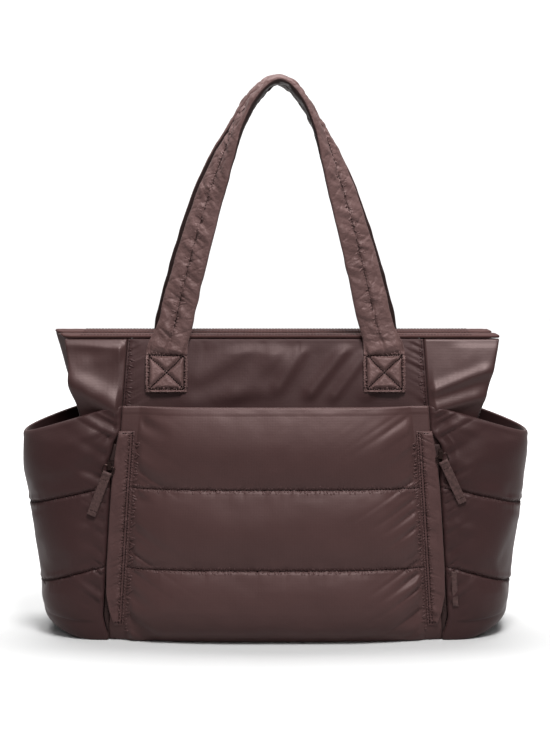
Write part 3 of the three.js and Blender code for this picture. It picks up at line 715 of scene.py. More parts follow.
@dataclass(frozen=True)
class Bag:
    """The bag's sizes in mm, and the forms that its pieces share."""

    height: float = 314.5
    base_half_length: float = 175.3
    top_half_length: float = 155.0
    base_half_depth: float = 69.0
    top_half_depth: float = 36.0
    depth_taper_power: float = 3.8
    front_bulge: float = 12.0
    back_bulge: float = 8.0
    bulge_across: float = 3.0
    bulge_up: float = 1.5
    side_bulge: float = 5.0
    side_power: float = 4.0
    wall: float = 3.0
    gap: float = 0.3
    wing_reach: float = 77.5
    wing_start: float = 95.0
    wing_depth_share: float = 0.3
    fold_share: float = 0.2
    top_fold_share: float = 0.07
    fold_blend: tuple[float, float] = (0.2, 0.65)
    pocket_height: float = 246.5
    rim_drop: float = 32.0
    rim_drop_power: float = 1.2
    quilt: tuple[QuiltLine, ...] = (QuiltLine(0.318, 0.73), QuiltLine(0.657, 0.7), QuiltLine(1.0, 1.0))
    puff_power: float = 0.7
    front_puff: float = 8.0
    side_puff: float = 5.0
    tip_puff_loss: float = 0.55
    puff_ramp: float = 38.0
    side_puff_ramp: float = 34.0
    pocket_wall: float = 3.0
    front_pocket_depth: float = 12.0
    seam_band: float = 18.0
    swell_start: float = 0.25
    swell_height: float = 0.15
    side_tip_base: float = 248.0
    side_tip_rim: float = 268.0
    side_pocket_power: float = 2.6
    bottom_radius: float = 20.0
    floor_out: float = 1.2
    floor_depth: float = 0.99
    zip_width: float = 11.0
    shut_zip_width: float = 6.7
    slider_opening: float = 13.0
    slider_heights: tuple[float, float] = (185.5, 197.1)
    zip_bottom: float = 10.0
    zip_top: float = 207.0
    zip_taper_bottom: float = 28.0
    zip_taper_top: float = 14.0
    placket_overhang: float = 6.2

    def seam_x(self, z: Array) -> Array:
        """Half length between the side seams: a straight line from the base to the top."""
        return lerp(self.base_half_length, self.top_half_length, z / self.height)

    def seam_y(self, z: Array) -> Array:
        """Half depth at the seams: the base's, drawn in to the top's by a power of the height."""
        share = np.clip(z / self.height, 0.0, None) ** self.depth_taper_power
        return lerp(self.base_half_depth, self.top_half_depth, share)

    def panel_depth(self, bulge: float, x: Array, z: Array) -> Array:
        """Distance of a panel's face from the middle plane: the bulge times (1 - across^3) (1 - up)^1.5."""
        across = np.minimum(1.0, np.abs(x) / self.seam_x(z)) ** self.bulge_across
        up = np.clip(1 - z / self.height, 0.0, None) ** self.bulge_up
        return self.seam_y(z) + bulge * (1 - across) * up

    def puff(self, share: Array) -> Array:
        """Padding over one channel: sin(pi s) to a power, nothing at the stitched lines."""
        return np.sin(np.pi * np.clip(share, 0.0, 1.0)) ** self.puff_power

    def puff_reach(self, x: Array, z: Array) -> Array:
        """Share of the full padding at x: the seam bands stay flat."""
        return smoothstep(self.seam_x(z) - self.seam_band - np.abs(x), 0.0, self.puff_ramp)

    def across_x(self, u: Array, z: Array, edge: float) -> Array:
        """X of a column: up to 1 a share of the padded middle, from 1 to 2 a share of the seam band."""
        padded = self.seam_x(z) - self.seam_band
        share = np.abs(u)
        out = lerp(padded, self.seam_x(z) - edge, share - 1)
        return np.sign(u) * np.where(share <= 1, share * padded, out)

    def front_pocket_inner(self, x: Array, z: Array) -> Array:
        """Depth of the front pocket's inner face: the panel, a gap and a hollow that opens from its foot."""
        across = np.minimum(1.0, np.abs(x) / (self.seam_x(z) - self.seam_band))
        opening = lerp(self.swell_start, 1.0, smoothstep(z / self.pocket_height, 0.0, self.swell_height))
        hollow = self.front_pocket_depth * (1 - across**4) * opening
        return self.panel_depth(self.front_bulge, x, z) + self.gap + hollow

    def super_point(self, angle: Array, power: float) -> tuple[Array, Array]:
        """Cosine and sine of an angle, each raised to 2 / power, which draws a superellipse."""
        return np.clip(np.cos(angle), 0.0, None) ** (2 / power), signed_power(np.sin(angle), 2 / power)

    def folded(self, corners: Array, u: Array, fold: Array) -> Array:
        """Walks a row of corners with equal shares of u a leg, each inner corner cut to a round fold.

        Args:
            corners: Corners by rows by columns by two.
            u: Share of the way round.
            fold: Share of each leg that a fold takes.

        Returns:
            Rows by columns by two.
        """
        legs = len(corners) - 1
        take = lambda number: np.take_along_axis(corners, number[None, ..., None], axis=0)[0]
        along = u * legs
        leg = np.clip(np.floor(along).astype(int), 0, legs - 1)
        straight = lerp(take(leg), take(leg + 1), (along - leg)[..., None])
        nearest = np.rint(along).astype(int)
        offset = along - nearest
        is_fold = (nearest > 0) & (nearest < legs) & (np.abs(offset) < fold)
        middle = np.clip(nearest, 1, legs - 1)
        before = lerp(take(middle), take(middle - 1), fold[..., None])
        after = lerp(take(middle), take(middle + 1), fold[..., None])
        t = ((offset / fold + 1) / 2)[..., None]
        curve = (1 - t) ** 2 * before + 2 * t * (1 - t) * take(middle) + t**2 * after
        return np.where(is_fold[..., None], curve, straight)

    def end_outline(self, shares: WingShares, u: Array, z: Array) -> Array:
        """Outline of an end in plan, front to back: a superellipse low down, a folded V at the top."""
        u, z = np.broadcast_arrays(np.asarray(u, float), np.asarray(z, float))
        rise = z / self.height
        c, s = self.super_point((u - 0.5) * np.pi, self.side_power)
        low = spread(self.seam_x(z) + self.side_bulge * c, self.seam_y(z) * s)
        flare = np.clip((z - self.wing_start) / (self.height - self.wing_start), 0.0, None)
        tuck_x = np.full_like(z, self.base_half_length + self.side_bulge)
        opening = smoothstep(rise, self.wing_depth_share, 1.0)
        corner_y = self.seam_y(z) * lerp(self.wing_depth_share, 1.0, opening)
        corner_x = lambda share: lerp(tuck_x, self.top_half_length + self.wing_reach * share, flare)
        corners = np.stack([
            spread(self.seam_x(z), -self.seam_y(z)),
            spread(corner_x(shares.front), -corner_y),
            spread(tuck_x, 0.0),
            spread(corner_x(shares.back), corner_y),
            spread(self.seam_x(z), self.seam_y(z)),
        ])
        blend = smoothstep(rise, *self.fold_blend)[..., None]
        fold = lerp(self.fold_share, self.top_fold_share, smoothstep(rise, 0.55, 0.95))
        return lerp(low, self.folded(corners, u, fold), blend)

    def plan_normal(self, curve: Callable[[Array], Array], u: Array) -> Array:
        """Outward normal in plan of a curve of u; at both ends it points along Y."""
        step = 0.01
        along = unit(curve(u + step) - curve(u - step))
        normal = spread(along[..., 1], -along[..., 0])
        return np.where(((u <= 0) | (u >= 1))[..., None], spread(0.0, np.where(u < 0.5, -1.0, 1.0)), normal)

    def zip_gap(self, z: Array, end: int) -> Array:
        """Width of the bare zip beside a side pocket: widest at the slider, nothing past both ends."""
        slider = self.slider_heights[(end + 1) // 2]
        width = lerp(self.shut_zip_width, self.zip_width, bump(z - slider, self.slider_opening))
        start = self.zip_bottom - self.zip_taper_bottom / 3
        rising = smoothstep(z, start, start + self.zip_taper_bottom)
        closing = smoothstep(z, self.zip_top, self.zip_top + self.zip_taper_top)
        return width * rising * (1 - closing)

    def pocket_front_x(self, z: Array, end: int) -> Array:
        """Where a side pocket starts at the front, past the zip."""
        return self.seam_x(z) + self.gap + self.zip_gap(z, end)

    def pocket_tip_x(self, z: Array) -> Array:
        """Inner face of a side pocket at its tip."""
        share = smoothstep(z, 0.0, self.pocket_height - self.rim_drop)
        return lerp(self.side_tip_base, self.side_tip_rim, share) - self.pocket_wall

    def pocket_start(self, u: Array, z: Array, end: int) -> Array:
        """X of the seam that a side pocket's half starts from."""
        return np.where(u < 0.5, self.pocket_front_x(z, end), self.seam_x(z) + self.gap)

    def pocket_outline(self, u: Array, z: Array, inset: Array, end: int) -> Array:
        """Inner outline of a side pocket in plan, a superellipse, drawn in at the tip by the inset."""
        c, s = self.super_point((u - 0.5) * np.pi, self.side_pocket_power)
        x = lerp(self.pocket_start(u, z, end), self.pocket_tip_x(z) - inset, c)
        return spread(x, (self.seam_y(z) + self.gap) * s)

    def side_line_height(self, line: QuiltLine, c: Array) -> Array:
        """Height of a quilt line, or the rim, where a side pocket has turned the share c to its tip."""
        return self.pocket_height * line.height - self.rim_drop * line.drop * c**self.rim_drop_power

    def side_puff_at(self, x: Array, z: Array, start: Array) -> Array:
        """Full padding at x on a side pocket: none under the placket, less on the tight tip."""
        share = np.clip((x - start) / (self.pocket_tip_x(z) - start), 0.0, 1.0)
        ramp = smoothstep(x - start, 0.5, self.side_puff_ramp)
        return self.side_puff * ramp * (1 - self.tip_puff_loss * share**4)


BAG = Bag()


# Finishes


class Slot(Enum):
    """The record's material slots."""

    NYLON = "nylon"
    ZIP_TAPE = "zip_tape"
    ZIP_METAL = "zip_metal"
    PULL_TAPE = "pull_tape"


def linear(red: int, green: int, blue: int) -> Colour:
    """Scene colour of a screen colour given from 0 to 255."""
    shares = (((c / 255 + 0.055) / 1.055) ** 2.4 if c > 10 else c / 3294.6 for c in (red, green, blue))
    return (*shares, 1.0)


class Recipe:
    """A new material, whose nodes are added and joined one by one."""

    def __init__(self, name: str) -> None:
        """Makes the material with its shader."""
        self.material = bpy.data.materials.new(name)
        self.material.use_nodes = True
        self.shader = self.material.node_tree.nodes["Principled BSDF"]
        self.place = self.add("TexCoord", {})

    def set(self, node: bpy.types.Node, inputs: dict) -> bpy.types.Node:
        """Sets a node's inputs: a socket is joined, and any other value becomes the input's own."""
        for name, value in inputs.items():
            if isinstance(value, bpy.types.NodeSocket):
                self.material.node_tree.links.new(value, node.inputs[name])
            else:
                node.inputs[name].default_value = value
        return node

    def add(self, kind: str, inputs: dict, **choices: str) -> bpy.types.Node:
        """Adds a node with its choices and inputs."""
        node = self.material.node_tree.nodes.new(f"ShaderNode{kind}")
        for name, value in choices.items():
            setattr(node, name, value)
        return self.set(node, inputs)

    def noise(self, scale: float, detail: float) -> bpy.types.Node:
        """Adds noise in the object's own space."""
        inputs = {"Vector": self.place.outputs["Object"], "Scale": scale, "Detail": detail}
        return self.add("TexNoise", inputs)

    def blend(self, low: Colour, high: Colour, share: bpy.types.Node) -> bpy.types.NodeSocket:
        """Colour between two, by the noise's share."""
        inputs = {"A": low, "B": high, "Factor": share.outputs["Fac"]}
        return self.add("Mix", inputs, data_type="RGBA").outputs["Result"]


@dataclass(frozen=True)
class Cloth:
    """A woven cloth: a plain weave from two crossed waves on the cloth's own UV map, and soft crumples."""

    name: str
    colour: Colour
    deep: Colour
    roughness: float = 0.5
    thread_mm: float = 0.45
    weave_depth: float = 0.03
    crumple_mm: float = 9.0
    crumple_depth: float = 0.35
    sheen: float = 0.06
    shine: float = 0.3
    tint: Colour = (1.0, 0.79, 0.77, 1.0)
    sheen_tint: Colour = (0.9, 0.78, 0.74, 1.0)
    stain_scale: float = 22.0

    def make(self) -> bpy.types.Material:
        """Makes the material."""
        recipe = Recipe(self.name)
        stain = recipe.noise(self.stain_scale, 3.0)
        weave = recipe.add("Math", {}, operation="ADD")
        wave = {
            "Vector": recipe.place.outputs["UV"],
            "Scale": 1000.0 / self.thread_mm / 20.0,
            "Distortion": 0.6,
            "Detail": 0.0,
        }
        for socket, direction in enumerate("XY"):
            threads = recipe.add("TexWave", wave, bands_direction=direction)
            recipe.set(weave, {socket: threads.outputs["Fac"]})
        crumple = recipe.noise(1000.0 / self.crumple_mm, 3.0)
        under = {}
        for height, depth, strength in (
            (weave.outputs["Value"], self.weave_depth, 0.5),
            (crumple.outputs["Fac"], self.crumple_depth, 0.6),
        ):
            inputs = {"Height": height, "Distance": depth * MM, "Strength": strength, **under}
            under = {"Normal": recipe.add("Bump", inputs).outputs["Normal"]}
        recipe.set(recipe.shader, {
            "Base Color": recipe.blend(self.deep, self.colour, stain),
            "Roughness": self.roughness,
            "Specular IOR Level": self.shine,
            "Specular Tint": self.tint,
            "Sheen Weight": self.sheen,
            "Sheen Roughness": 0.45,
            "Sheen Tint": self.sheen_tint,
            **under,
        })
        return recipe.material


@dataclass(frozen=True)
class CoatedMetal:
    """Painted metal, a little worn: noise changes its roughness and colour."""

    name: str
    colour: Colour
    worn: Colour
    roughness: tuple[float, float] = (0.28, 0.45)

    def make(self) -> bpy.types.Material:
        """Makes the material."""
        recipe = Recipe(self.name)
        wear = recipe.noise(700.0, 4.0)
        low, high = self.roughness
        rough = recipe.add("MapRange", {"Value": wear.outputs["Fac"], "To Min": low, "To Max": high})
        recipe.set(recipe.shader, {
            "Base Color": recipe.blend(self.colour, self.worn, wear),
            "Metallic": 0.85,
            "Roughness": rough.outputs["Result"],
        })
        return recipe.material


@dataclass
class Finishes:
    """The bag's finishes, each made once."""

    nylon: Cloth = Cloth("satin_nylon", linear(66, 45, 44), linear(57, 38, 37), shine=0.28)
    # Handle cloth: a lighter copy of the nylon, painted light for the lit faces of the straps, with deep
    # crumples.
    painted_light_gathered: Cloth = Cloth(
        "painted_light_gathered_nylon", linear(98, 75, 73), linear(70, 50, 48), crumple_mm=5.0, crumple_depth=2.4
    )
    # Placket cloth: a lighter copy of the nylon, painted light on the bands.
    placket: Cloth = Cloth(
        "placket_painted_light_nylon",
        linear(74, 52, 51),
        linear(60, 41, 40),
        roughness=0.55,
        shine=0.24,
        crumple_mm=6.0,
        crumple_depth=1.3,
    )
    # Side panels' cloth: a darker copy of the nylon, painted shade.
    body: Cloth = Cloth("painted_shade_body_nylon", linear(60, 40, 39), linear(46, 29, 29), roughness=0.44, shine=0.34)
    # Front panel's and side pockets' cloth: a darker copy of the nylon, painted shade.
    side: Cloth = Cloth("painted_shade_side_nylon", linear(52, 33, 33), linear(45, 28, 28), shine=0.22)
    strip: Cloth = Cloth(
        "strip_nylon", linear(70, 49, 47), linear(54, 36, 35), roughness=0.6, sheen=0.0, shine=0.03
    )
    # Dark cloth of the base inside the body, and painted shade on the straps' inner faces.
    lining_and_painted_shade: Cloth = Cloth("lining_and_painted_shade_cloth", linear(36, 23, 22), linear(30, 19, 18), roughness=0.6, sheen=0.05)
    # Dark stitch thread, partly its own colour and partly painted shade of the stitched grooves.
    thread: Cloth = Cloth(
        "stitch_thread_and_groove_shade", linear(22, 12, 12), linear(14, 8, 8), sheen=0.0, shine=0.06, thread_mm=0.2
    )
    tape: Cloth = Cloth(
        "zip_tape_weave", linear(40, 25, 24), linear(32, 20, 19), roughness=0.7, thread_mm=0.7
    )
    pull: Cloth = Cloth(
        "pull_tape_weave",
        linear(88, 65, 63),
        linear(14, 8, 8),
        roughness=0.6,
        thread_mm=1.1,
        weave_depth=0.45,
        stain_scale=520.0,
    )
    metal: CoatedMetal = CoatedMetal("dark_coated_metal", linear(42, 29, 27), linear(62, 46, 43))
    made: dict[str, bpy.types.Material] = field(default_factory=dict)

    def dress(self, piece: bpy.types.Object, *finishes: Cloth | CoatedMetal) -> None:
        """Puts finishes on a piece, in place of any it has."""
        piece.data.materials.clear()
        for finish in finishes:
            if finish.name not in self.made:
                self.made[finish.name] = finish.make()
            piece.data.materials.append(self.made[finish.name])


FINISHES = Finishes()


def settle(
    piece: bpy.types.Object,
    finish: Cloth | CoatedMetal,
    slot: Slot,
    nodes: tuple[str, ...] = (),
) -> bpy.types.Object:
    """Gives a new piece its finish and body.

    Args:
        piece: The piece.
        finish: What it is made of.
        slot: The record's slot that it takes its finish from; not used.
        nodes: The CAD nodes that it stands for.

    Returns:
        The piece.
    """
    FINISHES.dress(piece, finish)
    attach(piece, "root")
    if nodes:
        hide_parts(*nodes)
    log.info("%s: %d faces", piece.name, len(piece.data.polygons))
    return piece


def pad(
    node: str, outer: Array, inner: Array, finish: Cloth, edge_radius: float = 1.5
) -> None:
    """Builds the padded sheet that stands for a node of the solids.

    Args:
        node: The node's name.
        outer: Rows by columns by three, the outer skin.
        inner: The same of the inner skin.
        finish: The cloth's finish.
        edge_radius: How round its edges are, in mm.
    """
    piece = Sheet(f"{node}_padded", outer, inner, edge_radius).build()
    settle(piece, finish, Slot.NYLON, (node,))


# Panels


GROOVE_WIDTH = 1.7
SEWN_COLUMN = 0.999
SEWN_SHARE = 1e-6


@dataclass
class QuiltGrid:
    """Rows and columns of a quilted panel, close together at the stitched lines."""

    rows_in_channel: int = 58
    columns_in_half: int = 100
    columns_in_band: int = 13

    def rows(self) -> tuple[Array, Array]:
        """Channel and share of the way up it, for each row."""
        shares = eased_shares(self.rows_in_channel)
        channel = np.concatenate([[0], np.repeat(np.arange(len(BAG.quilt)), self.rows_in_channel)])
        return channel, np.concatenate([[0.0], np.tile(shares[1:], len(BAG.quilt))])

    def heights(self) -> tuple[Array, Array]:
        """Height and share of the way up its channel, for each row."""
        channel, share = self.rows()
        bounds = BAG.pocket_height * np.array([0.0, *(line.height for line in BAG.quilt)])
        return lerp(bounds[channel], bounds[channel + 1], share), share

    def columns(self) -> Array:
        """Columns across, as `Bag.across_x` reads them."""
        padded = np.linspace(0, 1, self.columns_in_half + 1)
        half = np.concatenate([padded, 1 + eased_shares(self.columns_in_band)[1:]])
        return np.concatenate([-half[:0:-1], half])


@dataclass
class QuiltedPanel:
    """A flat panel quilted in three channels, with gathers along every stitched line."""

    line_gathers: Gathers = Gathers(reach=4.0, height=1.8, seed=12)
    puff_share: float = 0.8
    line_puckers: Puckers = Puckers(amplitude=0.75, spacing=5.2, reach=6.0, seed=11)
    seam_puckers: Puckers = Puckers(amplitude=5.0, spacing=13.0, reach=23.0, seed=23, slant=0.6)
    seam_fill: float = 1.6
    rim_puckers: Puckers = Puckers(amplitude=0.5, spacing=13.0, reach=9.0, seed=31)
    roll: float = 1.0
    groove: float = 1.3
    billow: Billow = Billow()

    def relief(self, x: Array, z: Array, share: Array) -> Array:
        """Small relief: gathers at the quilt lines, slanted ones at the seams, and soft undulation."""
        lift = np.zeros(np.broadcast(x, z).shape)
        for line in BAG.quilt[:-1]:
            away = z - BAG.pocket_height * line.height
            shift = 130 * line.height + np.where(away > 0, 57.0, 0.0)
            lift = lift + self.line_puckers.height(x + shift, away) - self.groove * bump(away, GROOVE_WIDTH)
        band = BAG.seam_x(z) - BAG.seam_band - np.abs(x)
        inward = np.clip(band, 0, None)
        side = self.seam_puckers.height(z + np.where(x < 0, 300.0, 0.0), inward)
        side = side + self.seam_fill * bump(inward, self.seam_puckers.reach)
        below = BAG.pocket_height - z
        lift = lift + side * smoothstep(band, 0.5, 7.0) * smoothstep(below, 0.0, 30.0)
        lift = lift + self.rim_puckers.height(x, below) * smoothstep(below, 2.0, 9.0)
        wide = Noise(5).field(x / 46 + 9, z / 30 + 3)
        return lift + self.roll * wide * np.sin(np.pi * np.clip(share, 0, 1)) ** 0.5


def foot_tuck(z: Array, turn: float = 22.0, depth: float = 7.0) -> Array:
    """How far the front's foot turns under: nothing from the turn's height up, then ever faster."""
    return depth * np.clip(1 - z / turn, 0, 1) ** 2.2


def sewn_rows(share: Array) -> Array:
    """Which rows lie on a quilt line, by their share of the way up a channel."""
    return (share <= SEWN_SHARE) | (share >= 1 - SEWN_SHARE)


def held_lines(share: Array, columns: Array) -> Array:
    """Where a quilted grid is sewn down: on the quilt lines and from the seam bands out."""
    return sewn_rows(share)[:, None] | (np.abs(columns) >= SEWN_COLUMN)[None, :]


@dataclass
class FrontPocket(QuiltedPanel):
    """The slip pocket over the whole front."""

    rim_lip: float = 0.4
    lip_height: float = 7.5
    least_wall: float = 0.7
    line_margin: float = 17.0
    side_margin: float = 15.5
    side_from: float = 14.0
    side_to: float = 225.0
    side_gathers: Gathers = Gathers(reach=5.0, height=1.6, lean=-0.9, sides=(1,), seed=14)

    def build(self) -> None:
        """Builds the pocket, sews its quilt lines and gathers its sides."""
        grid = QuiltGrid()
        z, share = grid.heights()
        columns = grid.columns()
        u, high = np.meshgrid(columns, z)
        x = BAG.across_x(u, high, 0.0)
        depth = BAG.front_pocket_inner(x, high)
        padding = BAG.front_puff * BAG.puff(share)[:, None] * BAG.puff_reach(x, high) * self.puff_share
        outer = spread(x, -(depth + BAG.pocket_wall + padding), high)
        outer = outer + swell(self.billow, "front_pocket", outer, held_lines(share, columns))
        top = BAG.pocket_height - high
        lip = self.rim_lip * smoothstep(self.lip_height - top, 0.0, 1.2) * smoothstep(top, -1.0, 1.5)
        outer[..., 1] -= self.relief(x, high, share[:, None])
        outer[..., 1] -= lip
        outer[..., 1] = np.minimum(outer[..., 1], -depth - self.least_wall)
        outer[..., 1] += foot_tuck(high)
        pad("front_pocket", outer, spread(x, foot_tuck(high) - depth, high), FINISHES.nylon)
        skin = Skin(outer, face_front(grid_normals(outer)))
        rows = [grid.rows_in_channel * number for number in (1, 2)]
        sew_quilt("front_pocket", skin, rows, self.line_margin, self.line_gathers, FINISHES.nylon)
        sides = both_sides(skin, self.side_margin, self.side_from, self.side_to)
        gather("front_pocket_side", skin, sides, self.side_gathers, FINISHES.nylon)


def swell(billow: Billow, name: str, fine: Array, held: Array, step: int = 4) -> Array:
    """Simulates every few rows and columns of a fine grid and gives the smooth move of all its points.

    Args:
        billow: The cloth's settings.
        name: A name for the sheet.
        fine: Rows by columns by three, in mm.
        held: Rows by columns, True where the sheet is sewn down.
        step: How many fine rows and columns one simulated one stands for.

    Returns:
        Rows by columns by three, in mm.
    """
    rows, columns = held.shape
    full_rows = held.mean(1) > 0.9
    pick_r = np.unique(np.concatenate([np.arange(0, rows, step), np.flatnonzero(full_rows), [rows - 1]]))
    pick_c = np.unique(np.concatenate([np.arange(0, columns, step), [columns - 1]]))
    move = billow.lift(name, fine[np.ix_(pick_r, pick_c)], held[np.ix_(pick_r, pick_c)])
    rows_at = np.interp(np.arange(rows), pick_r, np.arange(len(pick_r)))
    columns_at = np.interp(np.arange(columns), pick_c, np.arange(len(pick_c)))
    log.info("%s swells by up to %.1f mm", name, np.abs(move).max())
    return refine(move, rows_at, columns_at) * (~held)[..., None]


@dataclass
class BackPanel(QuiltedPanel):
    """The back of the body: quilted below the level of the pockets' rims, plain above."""

    rows_above: int = 50
    line_margin: float = 4.0
    line_gathers: Gathers = Gathers(reach=4.0, height=1.8, seed=16)

    def build(self) -> None:
        """Builds the panel."""
        grid = QuiltGrid(rows_in_channel=44, columns_in_half=84, columns_in_band=10)
        low, share = grid.heights()
        above = lerp(BAG.pocket_height, BAG.height, eased_shares(self.rows_above, 0.3)[1:])
        z = np.concatenate([low, above])
        share = np.concatenate([share, np.ones(self.rows_above)])
        columns = grid.columns()
        u, high = np.meshgrid(columns, z)
        x = BAG.across_x(u, high, BAG.gap / 2)
        face = BAG.panel_depth(BAG.back_bulge, x, high)
        padding = BAG.front_puff * BAG.puff(share)[:, None] * BAG.puff_reach(x, high) * self.puff_share
        outer = spread(x, face + padding, high)
        held = held_lines(share, columns)
        held[len(low) :, :] = (np.abs(columns) >= SEWN_COLUMN)[None, :] | (above[:, None] > BAG.height - 3)
        outer = outer + swell(self.billow, "back_panel", outer[:, ::-1], held)[:, ::-1]
        outer[..., 1] += self.relief(x, high, share[:, None])
        pad("back_panel", outer, spread(x, face - BAG.wall, high), FINISHES.nylon)
        skin = Skin(outer, -face_front(grid_normals(outer)))
        rows = [grid.rows_in_channel * number for number in (1, 2, 3)]
        sew_quilt("back_panel", skin, rows, self.line_margin, self.line_gathers, FINISHES.nylon)


@dataclass
class FrontPanel:
    """The front of the body: its upper part shows between the pocket's rim and the top."""

    hidden_rows: int = 40
    shown_from: float = 215.0
    shown_rows: int = 84
    seam_puckers: Puckers = Puckers(amplitude=1.5, spacing=6.0, reach=12.0, seed=41, slant=-0.5)
    top_puckers: Puckers = Puckers(amplitude=0.5, spacing=11.0, reach=10.0, seed=43)
    seam_gathers: Gathers = Gathers(reach=5.0, height=1.8, lean=0.8, sides=(1,), seed=44)
    gathers_inset: float = 2.6
    gathers_from: float = 225.0
    gathers_to: float = 310.0
    stitch_inset: float = 2.4
    crease_share: float = 1.25
    waves: float = 1.3
    creases: tuple[Crease, ...] = (
        Crease((4, 268), (26, 300), 8.0, 2.2),
        Crease((38, 262), (72, 304), 7.0, 2.4),
        Crease((62, 258), (92, 296), 6.0, 1.6),
        Crease((98, 262), (126, 296), 8.0, 1.8),
        Crease((-40, 262), (-6, 292), 12.0, 2.2),
        Crease((-80, 276), (-34, 302), 11.0, 2.2),
        Crease((-84, 252), (-20, 262), 10.0, 1.6),
    )

    def build(self) -> None:
        """Builds the panel with its folds."""
        low = np.linspace(0, self.shown_from, self.hidden_rows)
        shown = lerp(self.shown_from, BAG.height, eased_shares(self.shown_rows, 0.3)[1:])
        z = np.concatenate([low, shown])
        columns = QuiltGrid(columns_in_half=96).columns()
        u, high = np.meshgrid(columns, z)
        x = BAG.across_x(u, high, BAG.gap / 2)
        face = BAG.panel_depth(BAG.front_bulge, x, high)
        lift = sum(crease.lift(x, high) for crease in self.creases)
        slanted = Noise(47).field((x + 0.8 * high) / 34, (high - 0.8 * x) / 60)
        lift = self.crease_share * lift + self.waves * slanted
        seam = BAG.seam_x(high) - np.abs(x)
        fade = smoothstep(seam, 4.0, 26.0) * smoothstep(BAG.height - high, 3.0, 16.0)
        fade = fade * smoothstep(high, BAG.pocket_height - 34, BAG.pocket_height - 6)
        small = self.seam_puckers.height(high + np.where(x < 0, 90.0, 0.0), seam - 2)
        small = small + self.top_puckers.height(x, BAG.height - 6 - high)
        small = small * smoothstep(seam, 0.5, 4.0) * smoothstep(BAG.height - high, 1.0, 5.0)
        stitched = -0.7 * bump(seam - self.stitch_inset, 1.3)
        tuck = foot_tuck(high)
        outer = spread(x, tuck - (face + lift * fade + small + stitched), high)
        # The front panel takes the darker nylon: painted shade.
        pad("front_panel", outer, spread(x, tuck + BAG.wall - face, high), FINISHES.side)
        self.sew_seams(outer)

    def sew_seams(self, outer: Array) -> None:
        """Lays the stitches and the gathers beside both seams, on the shown part of the panel's face."""
        skin = Skin(outer, face_front(grid_normals(outer)))
        x, z = outer[..., 0], outer[:, 0, 2]
        rows = np.linspace(self.hidden_rows, len(z) - 3, 120)
        seam = BAG.seam_x(np.interp(rows, np.arange(len(z)), z)) - self.stitch_inset
        lines = []
        for side in (-1, 1):
            column = columns_at(x, rows, side * seam)
            lines.append((sample(outer, rows, column), unit(sample(skin.normals, rows, column))))
        stitch("front_seam", lines)
        seams = both_sides(skin, self.gathers_inset, self.gathers_from, self.gathers_to)
        gather("front_seam", skin, seams, self.seam_gathers, FINISHES.side)


def face_front(normals: Array) -> Array:
    """Normals turned, where they must be, to look to the front."""
    return np.where(normals[..., 1:2] > 0, -normals, normals)


class End(Enum):
    """The bag's two ends, with the sign of their X."""

    LEFT = -1
    RIGHT = 1

    @property
    def label(self) -> str:
        """The end's name in lower case."""
        return self.name.lower()


@dataclass
class SidePanel:
    """An end of the body: tucked in between its wings as a V."""

    end: End
    shares: WingShares
    creases: tuple[Crease, ...]
    rows: int = 150
    columns: int = 150
    crumple: float = 0.9

    def build(self) -> None:
        """Builds the panel with its folds."""
        z = BAG.height * eased_shares(self.rows, 0.35)
        u, high = np.meshgrid(eased_shares(self.columns, 0.3), z)
        outline = lambda v: BAG.end_outline(self.shares, v, high)
        normal = BAG.plan_normal(outline, u)
        flat = outline(u)
        x = np.abs(flat[..., 0])
        fade = smoothstep(u, 0.0, 0.03) * smoothstep(1 - u, 0.0, 0.03)
        fade = fade * smoothstep(BAG.height - high, 1.0, 10.0) * smoothstep(high, 120.0, 200.0)
        lift = sum(crease.lift(x, high) for crease in self.creases) * np.where(u < 0.25, 1.0, 0.4)
        noise = Noise(60 + self.end.value)
        lift = lift + self.crumple * noise.field(u * 14 + high / 60, high / 34 - u * 5)
        outer = flat + normal * (lift * fade)[..., None]
        inner = flat - normal * BAG.wall
        sign, shift = self.end.value, BAG.gap / 2
        outer, inner = (
            spread(sign * (plan[..., 0] + shift), plan[..., 1], high) for plan in (outer, inner)
        )
        # The side panel takes the darker nylon: painted shade.
        pad(f"side_panel_{self.end.label}", outer, inner, FINISHES.body)


